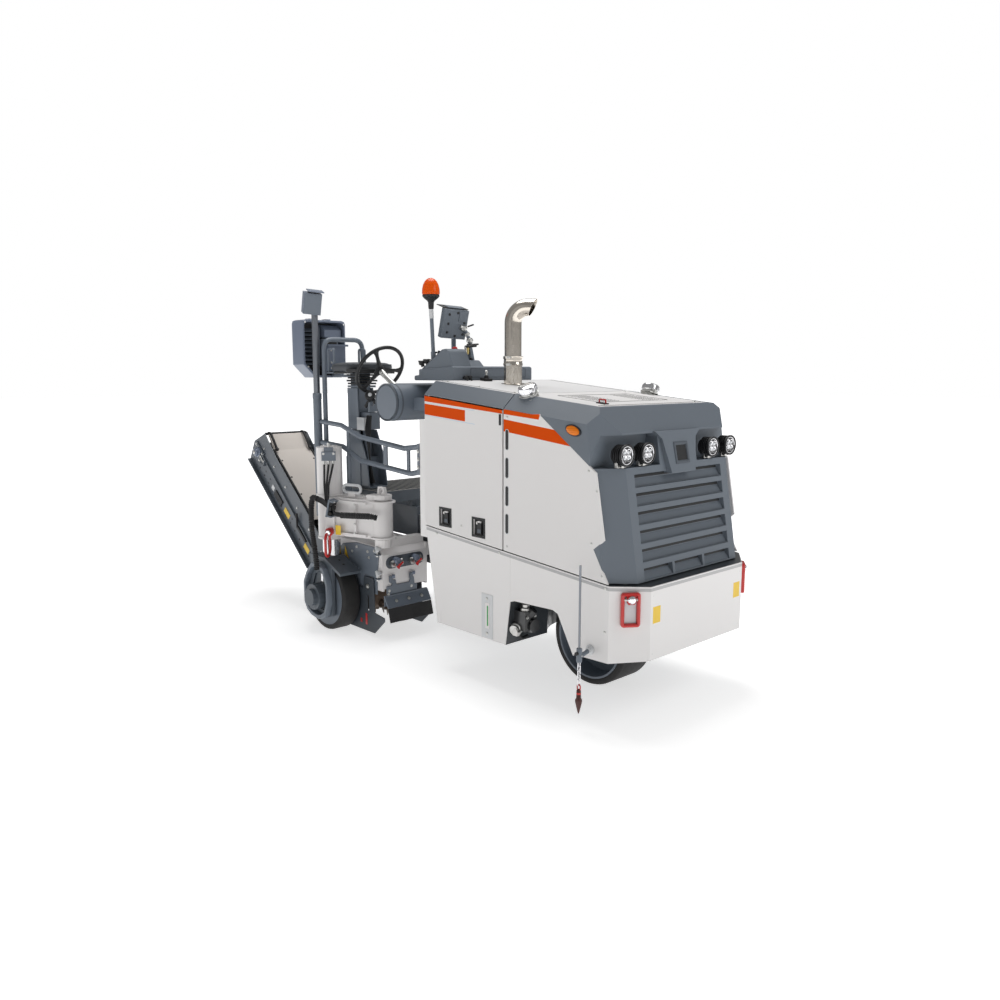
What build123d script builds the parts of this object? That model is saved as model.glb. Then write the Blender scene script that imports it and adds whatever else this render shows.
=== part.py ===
from build123d import *
import os
from math import atan, cos, degrees, radians, sin

# A small three-wheeled cold planer. Millimetres, +X forward, +Y to the left, +Z up.
# While modelling, X is counted from a line just ahead of the rear axle and Z from the ground.
# Each piece is written with the origin on the ground, midway along the machine: see MID_X.

MID_X = 586.0

# Driving dimensions of the body
BODY_HALF = 590.0
BODY_REAR_X = 995.0
DOOR_SPLIT_X = 1680.0
FRONT_X = 2569.0
FRONT_HALF = 416.0
CORNER_X = 2444.0
SKIRT_Z = 283.0
APRON_Z = 357.0
SHEET = 6.0
GAP = 6.0
DOOR_DROP = 8.0
LATCH_X = (1183.0, 1479.0)
POST_X = (935.0, 990.0)
POST_Y = (558.0, 585.0)
LINE_SLOPE = 0.0955     # the groove, the belt line and the roof all fall towards the front
GROOVE_SLOPE = 0.0793
GROOVE_REAR_Z = 873.0
BELT_REAR_Z = 1670.0
ROOF_REAR_Z = 1751.0
ROOF_HALF = 500.0

# Wheels
REAR_AXLE_X = -64.0
REAR_WHEEL_Y = 603.5
REAR_RADIUS = 250.0
REAR_WIDTH = 133.0
FRONT_AXLE_X = 1920.0
FRONT_RADIUS = 270.0
FRONT_WIDTH = 262.0
TYRE_THICKNESS = 36.0
STEER_RADIUS = 80.0
AXLE_RADIUS = 30.0
RUNNING_FIT = 0.05

# Lifting columns
COLUMN_RADIUS = 88.0
COLUMN_Z = (650.0, 1290.0)
LEG_RADIUS = 62.0
PIVOT_X = 372.0
PIVOT_Y = -472.0
PIVOT_RADIUS = 45.0
ARM_Z = (690.0, 950.0)
EYE_RADIUS = 20.0
EYE_Z = 1014.0

# Milling unit
DRUM_X = 140.0
DRUM_Z = 300.0
DRUM_TIP_RADIUS = 225.0
DRUM_TUBE_RADIUS = 150.0
HOUSING_Y = (-508.0, -128.0)
HOUSING_TOP_Z = 630.0
DRUM_BORE = 48.0
PICK_COUNT = 32

# Loading conveyor
CONVEYOR_ANGLE = 41.0
CONVEYOR_FOOT = (-250.0, 140.0)
CONVEYOR_Y = (-520.0, -140.0)
HINGE_ALONG = 100.0
HINGE_ABOVE = 120.0
BELT_ENDS = [(200.0, 100.0), (1420.0, 130.0)]
BELT_ROLLER = 62.0
HINGE_RADIUS = 24.0
BEAM_FOOT = 330.0

# Operator's stand
FLOOR_Z = 985.0
FLOOR_X = (-250.0, 262.0)
FLOOR_Y = (-400.0, 500.0)
SLOT_COUNT = 20
RAIL_Y = -492.0
RAIL_RADIUS = 17.0
TANK_X = 552.0
TANK_Z = 1610.0
TANK_RADIUS = 120.0
WHEEL_HUB = (133.0, -300.0, 1815.0)
WHEEL_RAKE = 58.0
MAST = (-370.0, -500.0)
BEACON = (650.0, -236.0, 1812.0)
DISPLAY = (750.0, -14.0, 1910.0)
POINTER = (2330.0, -675.0)


def block(x, y, z):
    size = Box(x[1] - x[0], y[1] - y[0], z[1] - z[0])
    return Pos((x[0] + x[1]) / 2, (y[0] + y[1]) / 2, (z[0] + z[1]) / 2) * size


def side_profile(points, y):
    face = make_face(Polyline(*points, close=True))
    return extrude(Plane.XZ.offset(-y[1]) * face, amount=y[1] - y[0])


def cross_profile(points, x):
    face = make_face(Polyline(*points, close=True))
    return extrude(Plane.YZ.offset(x[0]) * face, amount=x[1] - x[0])


def plan_profile(points, z):
    face = make_face(Polyline(*points, close=True))
    return extrude(Plane.XY.offset(z[0]) * face, amount=z[1] - z[0])


def rod(start, end, radius):
    start, end = Vector(*start), Vector(*end)
    plane = Plane(origin=start, z_dir=end - start)
    return extrude(plane * Circle(radius), amount=(end - start).length)


def bar(start, end, radius, sides=8):
    # round stock drawn with flats
    start, end = Vector(*start), Vector(*end)
    plane = Plane(origin=start, z_dir=end - start)
    return extrude(plane * RegularPolygon(radius, sides), amount=(end - start).length)


def bent_bar(points, bend, radius, sides=8):
    path = FilletPolyline(*points, radius=bend)
    return sweep(Plane(origin=path @ 0, z_dir=path % 0) * RegularPolygon(radius, sides), path=path)


def across(radius, x, z, y):
    return rod((x, y[0], z), (x, y[1], z), radius)


def across_bar(radius, x, z, y, sides=16):
    return bar((x, y[0], z), (x, y[1], z), radius, sides)


def mirrored(shape):
    return mirror(shape, about=Plane.XZ)


def turned(profile, x, z):
    # profile holds (Y, radius) pairs; it is spun about a lateral axle at x, z
    face = make_face(Polyline(*[(y, r) for y, r in profile], close=True))
    spun = revolve(Plane.YZ * face, axis=Axis.Y)
    return Pos(x, 0, z) * spun


def groove_z(x):
    return GROOVE_REAR_Z - GROOVE_SLOPE * (x - BODY_REAR_X)


def belt_z(x):
    return BELT_REAR_Z - LINE_SLOPE * (x - BODY_REAR_X)


def roof_z(x):
    return ROOF_REAR_Z - LINE_SLOPE * (x - BODY_REAR_X)


# ---- Chassis ----

SKIRT_END_X = 2212.0
FRAME_SPLIT_X = 1742.0    # the tank frame behind is bolted to the wheel frame in front here
ARCH = [(1702, 200), (1702, 289), (1740, 541), (1775, 552), (2065, 562), (2100, 548)]
ARCH += [(SKIRT_END_X, 347), (SKIRT_END_X, 200)]
WELL_RADIUS = 332.0
WELL_TOP = 600.0
BAY_FLOOR_Z = 640.0
LEDGE_X = 2440.0
ENGINE_X = (1130.0, 1740.0)
ENGINE_HALF = 270.0
ENGINE_TOP_Z = 1330.0
EXHAUST = (1240.0, -90.0)
EXHAUST_BEND_Z = 2188.0
EXHAUST_AIM = (0.853, 0.522, 0.0)


def body_plan(z):
    outline = [
        (BODY_REAR_X - 10, -BODY_HALF),
        (CORNER_X, -BODY_HALF),
        (FRONT_X, -FRONT_HALF),
        (FRONT_X, FRONT_HALF),
        (CORNER_X, BODY_HALF),
        (BODY_REAR_X - 10, BODY_HALF),
    ]
    return plan_profile(outline, z)


def chassis_half(x):
    return main_frame() & block(x, (-700, 700), (100, 1700))


def main_frame():
    outline = [
        (1097, SKIRT_Z),
        (SKIRT_END_X, SKIRT_Z),
        (SKIRT_END_X, APRON_Z),
        (FRONT_X + 10, APRON_Z + 10),
        (FRONT_X + 10, groove_z(FRONT_X + 10)),
        (BODY_REAR_X, GROOVE_REAR_Z),
    ]
    shell = side_profile(outline, (-BODY_HALF, BODY_HALF)) & body_plan((100, 1000))
    bay = [
        (1012, -BODY_HALF + 12),
        (LEDGE_X - 110, -BODY_HALF + 12),
        (LEDGE_X, -BODY_HALF + 90),
        (LEDGE_X, BODY_HALF - 90),
        (LEDGE_X - 110, BODY_HALF - 12),
        (1012, BODY_HALF - 12),
    ]
    shell -= plan_profile(bay, (BAY_FLOOR_Z, 1000))
    shell -= side_profile(ARCH, (-BODY_HALF - 5, BODY_HALF + 5))
    shell -= bar((FRONT_AXLE_X, 0, 100), (FRONT_AXLE_X, 0, WELL_TOP), WELL_RADIUS, 36)
    socket = (FRONT_AXLE_X, 0, WELL_TOP - 10), (FRONT_AXLE_X, 0, BAY_FLOOR_Z + 10)
    shell -= rod(*socket, STEER_RADIUS + RUNNING_FIT)
    shell += block((300, BODY_REAR_X + 40), (-110, 420), (470, 800))
    for side in (-1, 1):
        y = sorted((side * POST_Y[0], side * POST_Y[1]))
        shell += block(POST_X, y, (800, 1515))
        shell += block((POST_X[1] - 10, BODY_REAR_X + 45), y, (800, 866))
    return shell


def rear_frame():
    # Slate box frame behind the engine bay: carries the stand, the left column and the conveyor
    cross = block((-190, 298), (-120, 500), (640, 860))
    cross += block((-330, -190), (-120, 500), (640, 820))
    return cross


# ---- Engine bay: fixed rear hood, doors, engine ----

def hood_section(x, inset):
    half = BODY_HALF - inset
    top = ROOF_HALF - inset * 0.6
    return [
        (-half, groove_z(x) + GAP),
        (-half, belt_z(x)),
        (-top, roof_z(x) - inset),
        (top, roof_z(x) - inset),
        (half, belt_z(x)),
        (half, groove_z(x) + GAP),
    ]


def hood_sleeve(x, inset):
    sections = []
    for at in x:
        face = make_face(Polyline(*hood_section(at, inset), close=True))
        sections.append(Plane.YZ.offset(at) * face)
    return loft(sections, ruled=True)


def rear_hood():
    outer = hood_sleeve((BODY_REAR_X, DOOR_SPLIT_X), 0)
    inner = hood_sleeve((BODY_REAR_X + SHEET, DOOR_SPLIT_X + 1), SHEET)
    shell = outer - inner
    door_cut = [
        (BODY_REAR_X + 20, groove_z(BODY_REAR_X)),
        (DOOR_SPLIT_X - 20, groove_z(DOOR_SPLIT_X)),
        (DOOR_SPLIT_X - 20, belt_z(DOOR_SPLIT_X - 20) - 20),
        (BODY_REAR_X + 20, belt_z(BODY_REAR_X + 20) - 20),
    ]
    shell -= side_profile(door_cut, (-BODY_HALF - 10, BODY_HALF + 10))
    skin = [
        (BODY_REAR_X - 1, 700),
        (DOOR_SPLIT_X + 1, 700),
        (DOOR_SPLIT_X + 1, belt_z(DOOR_SPLIT_X)),
        (BODY_REAR_X - 1, belt_z(BODY_REAR_X)),
    ]
    for side in (-1, 1):
        face = (BODY_HALF - 31, BODY_HALF + 1) if side > 0 else (-BODY_HALF - 1, -BODY_HALF + 31)
        shell -= side_profile(skin, face)
    hoop_outer = hood_sleeve((DOOR_SPLIT_X - 40, DOOR_SPLIT_X - 10), SHEET)
    hoop_inner = hood_sleeve((DOOR_SPLIT_X - 41, DOOR_SPLIT_X - 9), 60)
    hoop = hoop_outer - hoop_inner
    for side in (-1, 1):
        face = (BODY_HALF - 33, BODY_HALF + 1) if side > 0 else (-BODY_HALF - 1, -BODY_HALF + 33)
        hoop -= side_profile(skin, face)
    foot = block((BODY_REAR_X, BODY_REAR_X + 24), (-BODY_HALF + 34, BODY_HALF - 34), (879, 889))
    foot += block((BODY_REAR_X + 17.5, BODY_REAR_X + 24), (-BODY_HALF + 34, BODY_HALF - 34), (800, 889))
    return shell + hoop + foot


def door(side):
    x0, x1 = BODY_REAR_X, DOOR_SPLIT_X - GAP
    outline = [
        (x0, groove_z(x0) + GAP),
        (x1, groove_z(x1) + GAP),
        (x1, belt_z(x1) - DOOR_DROP),
        (x0, belt_z(x0) - DOOR_DROP),
    ]
    inset = [
        (x0 + 4, groove_z(x0) + GAP + 4),
        (x1 - 4, groove_z(x1) + GAP + 4),
        (x1 - 4, belt_z(x1) + 1),
        (x0 + 4, belt_z(x0) + 1),
    ]
    panel = side_profile(outline, (-BODY_HALF, -BODY_HALF + 26))
    panel -= side_profile(inset, (-BODY_HALF + 4, -BODY_HALF + 27))
    for x in LATCH_X:
        z = groove_z(x) + 90
        panel += block((x - 57, x + 57), (-BODY_HALF + 3, -BODY_HALF + 24), (z - 58, z + 58))
        panel -= block((x - 47, x + 47), (-BODY_HALF - 1, -BODY_HALF + 16), (z - 48, z + 48))
        panel += block((x - 14, x + 14), (-BODY_HALF + 4, -BODY_HALF + 20), (z - 36, z + 36))
    return panel if side < 0 else mirrored(panel)


def engine_block():
    return block(ENGINE_X, (-ENGINE_HALF, ENGINE_HALF), (BAY_FLOOR_Z, ENGINE_TOP_Z))


def under_roof(x):
    # what lies below the roof sheet around x
    x0, x1 = x - 120, x + 120
    below = [(x0, 1500), (x1, 1500), (x1, roof_z(x1)), (x0, roof_z(x0))]
    return side_profile(below, (-BODY_HALF, BODY_HALF))


def exhaust_stack():
    x, y = EXHAUST
    base = roof_z(x) - 10
    stack = bar((x, y, base), (x, y, base + 16), 74, 16)
    stack += bar((x, y, base + 5), (x, y, base + 140), 56, 16)
    stack += bar((x, y, base + 124), (x, y, base + 180), 62, 16)
    aim = Vector(*EXHAUST_AIM)
    high = Vector(x, y, base + 170)
    bend = Vector(x, y, EXHAUST_BEND_Z)
    mouth = bend + aim * 170
    stack += bent_bar([high, bend, mouth], 90, 52, 16)
    stack -= bent_bar([high + Vector(0, 0, 60), bend, mouth + aim * 5], 90, 47, 16)
    slash = Plane(origin=bend + aim * 124, z_dir=aim * 0.9 - Vector(0, 0, 0.44))
    stack -= slash * Pos(0, 0, 100) * Box(300, 300, 200)
    stack -= under_roof(x)
    return stack


# ---- Front hood: moulding with louvres, white panels, lamps ----

GRILLE_FOOT = (2510.0, 748.0)
GRILLE_HEAD = (2413.0, 1330.0)
GRILLE_HALF = 447.0
BROW_TOP_X = 2290.0
BROW_LIP = (2392.0, 1497.0)
TOP_PANEL_X = 2262.0
LAMP_SHELF_Z = 1330.0
LAMP_X = (2360.0, 2440.0)
LAMP_Y = (-460.0, -290.0, 290.0, 460.0)
LAMP_Z = 1395.0
LAMP_RADIUS = 56.0
CAPS = ((1765.0, -440.0), (1850.0, 455.0))
PANEL_EDGE = [(1955, 1586), (2347, 1312), (2406, 982), (2339, 929), (2437, 762)]


def front_plan(front, shoulder, z):
    outline = [
        (DOOR_SPLIT_X + GAP, -BODY_HALF),
        (front - shoulder, -BODY_HALF),
        (front - 62, -BODY_HALF + 55),
        (front, -GRILLE_HALF),
        (front, GRILLE_HALF),
        (front - 62, BODY_HALF - 55),
        (front - shoulder, BODY_HALF),
        (DOOR_SPLIT_X + GAP, BODY_HALF),
    ]
    return Plane.XY.offset(z) * make_face(Polyline(*outline, close=True))


def hood_body(inset):
    # The whole front hood as one tapering body, its sides flat and its face leaning back
    low = front_plan(GRILLE_FOOT[0] - inset, 100, 740)
    high = front_plan(GRILLE_FOOT[0] - 160 - inset, 100, 1740)
    solid = loft([low, high], ruled=True)
    sleeve = hood_sleeve((DOOR_SPLIT_X + GAP, FRONT_X + 60), 0)
    return solid & sleeve


def front_hood_shell():
    outer = hood_body(0)
    above_brow = [(BROW_TOP_X, roof_z(BROW_TOP_X)), (2400, roof_z(BROW_TOP_X) + 60), (2520, 1600), BROW_LIP]
    outer -= side_profile(above_brow, (-BODY_HALF - 10, BODY_HALF + 10))
    hollow_low = [
        (DOOR_SPLIT_X, 700),
        (GRILLE_FOOT[0] - 40, 700),
        (GRILLE_HEAD[0] - 45, 1290),
        (2270, 1320),
        (2250, 1480),
        (2250, roof_z(2250) - 12),
        (DOOR_SPLIT_X, roof_z(DOOR_SPLIT_X) - 12),
    ]
    outer -= side_profile(hollow_low, (-BODY_HALF + 90, BODY_HALF - 90))
    wide = [
        (DOOR_SPLIT_X, 700),
        (2300, 700),
        (2280, 1250),
        (2240, 1290),
        (2240, belt_z(2240) - 6),
        (DOOR_SPLIT_X, belt_z(DOOR_SPLIT_X) - 6),
    ]
    outer -= side_profile(wide, (-BODY_HALF + 12, BODY_HALF - 12))
    return outer


def lamp_recess(side):
    low, high = LAMP_SHELF_Z, LAMP_SHELF_Z + 160
    outline = [(2300, low), (2460, low - 2), (2460, high + 4), (2325, high)]
    cut = side_profile(outline, (165, BODY_HALF + 20))
    return cut if side > 0 else mirrored(cut)


def louvre_cut(z, half, depth, height):
    slope = (GRILLE_HEAD[0] - GRILLE_FOOT[0]) / (GRILLE_HEAD[1] - GRILLE_FOOT[1])
    face = GRILLE_FOOT[0] + slope * (z - GRILLE_FOOT[1])
    outline = [
        (face + 20, z + 6),
        (face - depth, z),
        (face - depth, z - height * 0.35),
        (face + 2, z - height),
        (face + 20, z - height),
    ]
    return side_profile(outline, (-half, half))


def hood_split():
    # everything on the white side of the moulding's edge
    outline = [(DOOR_SPLIT_X - 1, 600), (DOOR_SPLIT_X - 1, belt_z(DOOR_SPLIT_X)), (1900, belt_z(1900))]
    outline += PANEL_EDGE
    outline += [(2437, 600)]
    return outline


def hood_moulding():
    shell = front_hood_shell()
    for side in (-1, 1):
        shell -= lamp_recess(side)
    for row in range(5):
        shell -= louvre_cut(1290 - 93 * row, 385, 24, 62)
    for low, high in ((-385, -145), (-125, 125), (145, 385)):
        slot = louvre_cut(822, 385, 24, 55)
        shell -= slot & block((2300, 2700), (low, high), (700, 900))
    skin = side_profile(hood_split(), (-BODY_HALF - 1, -BODY_HALF + 12.5))
    shell -= skin
    shell -= mirrored(skin)
    tongue = [(-105, 1282), (105, 1282), (150, 1462), (200, 1500), (-200, 1500), (-150, 1462)]
    tongue = cross_profile(tongue, (2330, 2452))
    lean = side_profile([(2320, 1270), (2455, 1270), (2405, 1505), (2320, 1505)], (-300, 300))
    shell += tongue & lean
    top = [
        (DOOR_SPLIT_X, roof_z(DOOR_SPLIT_X) - 8),
        (TOP_PANEL_X, roof_z(TOP_PANEL_X) - 8),
        (TOP_PANEL_X, 1800),
        (DOOR_SPLIT_X, 1800),
    ]
    shell -= side_profile(top, (-ROOF_HALF + 25, ROOF_HALF - 25))
    return shell


def hood_panels():
    side = side_profile(hood_split(), (-BODY_HALF, -BODY_HALF + 12))
    rear, front = DOOR_SPLIT_X + GAP, GRILLE_FOOT[0] - 10
    above_groove = [(rear, groove_z(rear) + GAP), (front, groove_z(front) + GAP), (front, 1700), (rear, 1700)]
    side &= side_profile(above_groove, (-BODY_HALF - 10, -BODY_HALF + 90))
    top = side_profile([
        (DOOR_SPLIT_X + GAP, roof_z(DOOR_SPLIT_X + GAP) - 8),
        (TOP_PANEL_X - 1, roof_z(TOP_PANEL_X - 1) - 8),
        (TOP_PANEL_X - 1, roof_z(TOP_PANEL_X - 1)),
        (DOOR_SPLIT_X + GAP, roof_z(DOOR_SPLIT_X + GAP)),
    ], (-ROOF_HALF + 26, ROOF_HALF - 26))
    return [side, mirrored(side), top]


def work_lamps():
    lamps = []
    back, face = LAMP_X
    for y in LAMP_Y:
        lamp = bar((back, y, LAMP_Z), (face, y, LAMP_Z), LAMP_RADIUS, 16)
        lamp += bar((back - 34, y, LAMP_Z), (back, y, LAMP_Z), 34, 12)
        lamp += block((back - 20, back + 30), (y - 12, y + 12), (LAMP_SHELF_Z + 1, LAMP_Z))
        lamps.append(lamp)
    return lamps


def filler_caps():
    caps = []
    for x, y in CAPS:
        z = roof_z(x)
        cap = bar((x, y, z - 6), (x, y, z + 10), 52, 16)
        cap += bar((x, y, z + 5), (x, y, z + 41), 44, 16)
        cap -= under_roof(x)
        caps.append(cap)
    return caps


# ---- Wheels ----

def tyre(radius, width, y, x):
    half = width / 2
    shoulder = 16
    bore = radius - TYRE_THICKNESS
    profile = [
        (-half, bore),
        (-half, radius - shoulder),
        (-half + shoulder, radius),
        (half - shoulder, radius),
        (half, radius - shoulder),
        (half, bore),
    ]
    return Pos(0, y, 0) * turned(profile, x, radius)


def rim(radius, width, y, x, dish, outer_side):
    # a barrel with a disc set dish millimetres in from the side that outer_side points to
    half = width / 2
    bore = radius - TYRE_THICKNESS
    wheel = across_bar(bore, x, radius, (-half, half), 36)
    wheel -= across_bar(bore - 14, x, radius, (half - dish, half + 1), 36)
    wheel -= across_bar(bore - 14, x, radius, (-half - 1, -half + 30), 36)
    wheel += across_bar(78, x, radius, (half - dish - 1, half - dish + 16))
    wheel -= across(AXLE_RADIUS + RUNNING_FIT, x, radius, (-half, half))
    if outer_side < 0:
        wheel = mirrored(wheel)
    return Pos(0, y, 0) * wheel


def front_fork():
    crown = bar((FRONT_AXLE_X, 0, 549), (FRONT_AXLE_X, 0, 583), 190, 24)
    crown += rod((FRONT_AXLE_X, 0, 565), (FRONT_AXLE_X, 0, 675), STEER_RADIUS)
    leg_y = (FRONT_WIDTH / 2 + 12, FRONT_WIDTH / 2 + 42)
    leg = side_profile([
        (FRONT_AXLE_X - 110, 580),
        (FRONT_AXLE_X + 110, 580),
        (FRONT_AXLE_X + 70, 230),
        (FRONT_AXLE_X + 30, 200),
        (FRONT_AXLE_X - 30, 200),
        (FRONT_AXLE_X - 70, 230),
    ], leg_y)
    axle = across(AXLE_RADIUS, FRONT_AXLE_X, FRONT_RADIUS, (0, leg_y[1]))
    motor = across_bar(85, FRONT_AXLE_X, FRONT_RADIUS, (leg_y[1], leg_y[1] + 70))
    return crown + leg + axle + motor


def rear_leg(side):
    # chrome leg, fork crown and guard over the tyre, outboard cheek and hub motor, for the right side
    x, y = REAR_AXLE_X, -REAR_WHEEL_Y
    outer = y - REAR_WIDTH / 2
    leg = rod((x, y, 528), (x, y, 910), LEG_RADIUS)
    guard = side_profile([
        (x - 120, 506),
        (x - 120, 530),
        (x + 70, 530),
        (x + 262, 446),
        (x + 257, 428),
        (x + 60, 506),
    ], (outer - 36, y + 60))
    cheek = side_profile([
        (x - 166, 334),
        (x - 120, 400),
        (x - 120, 530),
        (x + 70, 530),
        (x + 158, 490),
        (x + 150, 130),
        (x + 5, 87),
        (x - 109, 118),
        (x - 163, 183),
    ], (outer - 36, outer - 12))
    cheek -= side_profile([
        (x - 60, 400),
        (x - 105, 300),
        (x - 105, 180),
        (x - 50, 150),
        (x + 60, 150),
        (x + 100, 220),
        (x + 100, 420),
        (x + 40, 450),
    ], (outer - 37, outer - 24))
    motor = across_bar(92, x, REAR_RADIUS, (outer - 100, outer - 23))
    motor += across_bar(60, x, REAR_RADIUS, (outer - 128, outer - 100), 12)
    axle = across(AXLE_RADIUS, x, REAR_RADIUS, (outer - 34, outer + REAR_WIDTH - 26))
    whole = leg + guard + cheek + motor + axle
    return whole if side < 0 else mirrored(whole)


def column_tube(side):
    x, y = REAR_AXLE_X, -REAR_WHEEL_Y
    tube = rod((x, y, COLUMN_Z[0]), (x, y, COLUMN_Z[1]), COLUMN_RADIUS)
    tube -= rod((x, y, COLUMN_Z[0] - 10), (x, y, COLUMN_Z[1] - 50), LEG_RADIUS + RUNNING_FIT)
    tube += bar((x, y, COLUMN_Z[1]), (x, y, COLUMN_Z[1] + 8), 60, 12)
    return tube if side < 0 else mirrored(tube)


def swing_arm():
    # the column and the casting that carries it round the pivot post
    y = -REAR_WHEEL_Y
    line = Vector(PIVOT_X - REAR_AXLE_X, PIVOT_Y - y, 0)
    side = Vector(-line.Y, line.X, 0).normalized()
    start = Vector(REAR_AXLE_X, y, 0)
    end = Vector(PIVOT_X, PIVOT_Y, 0)
    corners = [start + side * 84, start - side * 84, end - side * 62, end + side * 62]
    web = plan_profile([(c.X, c.Y) for c in corners], ARM_Z)
    web += rod((PIVOT_X, PIVOT_Y, ARM_Z[0]), (PIVOT_X, PIVOT_Y, ARM_Z[1]), 70)
    web += rod((REAR_AXLE_X, y, COLUMN_Z[0]), (REAR_AXLE_X, y, ARM_Z[1] + 1), COLUMN_RADIUS)
    web -= rod((PIVOT_X, PIVOT_Y, 600), (PIVOT_X, PIVOT_Y, 1000), PIVOT_RADIUS + RUNNING_FIT)
    web -= rod((REAR_AXLE_X, y, 600), (REAR_AXLE_X, y, ARM_Z[1] + 10), LEG_RADIUS + RUNNING_FIT)
    return web + column_tube(-1)


def left_column():
    tube = column_tube(1)
    y = REAR_WHEEL_Y
    bracket = block((REAR_AXLE_X - 80, REAR_AXLE_X + 80), (500, y), (690, 860))
    bracket -= rod((REAR_AXLE_X, y, 600), (REAR_AXLE_X, y, 900), LEG_RADIUS + RUNNING_FIT)
    return tube + bracket


def arm_hoses():
    # valve block at the column's head, three hoses to the clamp, and the sleeved bundle towards the motor
    head = Pos(31, -667, 1236) * Rot(0, 0, -34) * Box(50, 96, 62)
    clamp = Pos(70, -712, 890) * Rot(0, 0, 30) * Box(18, 44, 130)
    hoses = head + clamp
    for n in range(3):
        top = (22 + 16 * n, -684 + 8 * n, 1210)
        knee = (24 + 16 * n, -690 + 8 * n, 1010)
        hoses += bent_bar([top, knee, (64, -706, 925)], 60, 8, 6)
    hoses += bent_bar([(66, -716, 870), (-6, -768, 948), (-46, -771, 750), (-18, -768, 662)], 34, 20)
    hoses += bar((72, -705, 890), (83, -658, 890), 10)
    return hoses


# ---- Milling unit ----

def conveyor_hinge():
    slope = radians(CONVEYOR_ANGLE)
    x = CONVEYOR_FOOT[0] - HINGE_ALONG * cos(slope) + HINGE_ABOVE * sin(slope)
    z = CONVEYOR_FOOT[1] + HINGE_ALONG * sin(slope) + HINGE_ABOVE * cos(slope)
    return x, z


def drum_housing():
    side_z = [(-140, 330), (410, 330), (410, 580), (360, HOUSING_TOP_Z), (-80, HOUSING_TOP_Z), (-140, 560)]
    skin = [
        (-80, 640),
        (-140, 560),
        (-140, 330),
        (-96, 330),
        (-96, 540),
        (-50, HOUSING_TOP_Z - 12),
        (340, HOUSING_TOP_Z - 12),
        (386, 560),
        (386, 345),
        (410, 345),
        (410, 580),
        (360, HOUSING_TOP_Z),
    ]
    hood = side_profile(skin, HOUSING_Y)
    bearing = [(DRUM_X - 90, 335), (DRUM_X + 90, 335), (DRUM_X + 60, 235), (DRUM_X - 60, 235)]
    for y in ((HOUSING_Y[0], HOUSING_Y[0] + 14), (HOUSING_Y[1] - 14, HOUSING_Y[1])):
        hood += side_profile(side_z, y)
        hood += side_profile(bearing, y)
    hood += across(DRUM_BORE, DRUM_X, DRUM_Z, (HOUSING_Y[1] - 14, HOUSING_Y[1] - 54))
    hood += across(DRUM_BORE, DRUM_X, DRUM_Z, (HOUSING_Y[0] + 14, HOUSING_Y[0] + 54))
    hood += block((300, 408), (HOUSING_Y[1] - 6, -110), (530, 620))
    hood += block((300, 370), (-420, HOUSING_Y[1]), (HOUSING_TOP_Z - 12, 672))
    hood += rod((PIVOT_X, PIVOT_Y, 640), (PIVOT_X, PIVOT_Y, 960), PIVOT_RADIUS)
    hood += bar((PIVOT_X, PIVOT_Y, HOUSING_TOP_Z), (PIVOT_X, PIVOT_Y, ARM_Z[0] - 6), 56, 16)
    hood += bar((PIVOT_X, PIVOT_Y, ARM_Z[1] + 7), (PIVOT_X, PIVOT_Y, ARM_Z[1] + 37), 66, 16)
    eye = side_profile([(330, 985), (414, 985), (404, 1040), (340, 1040)], (PIVOT_Y - 12, PIVOT_Y + 12))
    eye -= across(EYE_RADIUS, PIVOT_X, EYE_Z, (PIVOT_Y - 13, PIVOT_Y + 13))
    hood += eye
    hinge_x, hinge_z = conveyor_hinge()
    for y in ((CONVEYOR_Y[0] - 11, CONVEYOR_Y[0] - 3), (CONVEYOR_Y[1] + 3, CONVEYOR_Y[1] + 12)):
        lug = side_profile([(-112, 345), (-112, 470), (hinge_x, hinge_z + 44), (hinge_x, hinge_z - 44)], y)
        lug += across_bar(45, hinge_x, hinge_z, y)
        lug -= across(HINGE_RADIUS + RUNNING_FIT, hinge_x, hinge_z, (y[0] - 1, y[1] + 1))
        hood += lug
    hood += block((-140, -112), (CONVEYOR_Y[0] - 11, HOUSING_Y[0]), (345, 470))
    return hood


def housing_plates():
    # slate guard on the housing's outboard side and the bracket that holds the rubber flap
    guard = side_profile([
        (-104, 300),
        (-104, 560),
        (-60, 600),
        (112, 629),
        (367, 627),
        (378, 590),
        (352, 410),
        (352, 300),
    ], (HOUSING_Y[0] - 8, HOUSING_Y[0] - 0.3))
    face = [(-500, 225), (-150, 225), (-150, 300), (-226, 302), (-226, 345), (-246, 345)]
    face += [(-252, 398), (-280, 398), (-290, 366), (-400, 366), (-406, 400), (-434, 400)]
    face += [(-440, 362), (-480, 362), (-480, 290), (-500, 284)]
    bracket = cross_profile(face, (410.3, 419))
    bracket += side_profile([(415, 300), (428, 300), (472, 226), (464, 220)], (-508, -142))
    return [guard, bracket]


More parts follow.
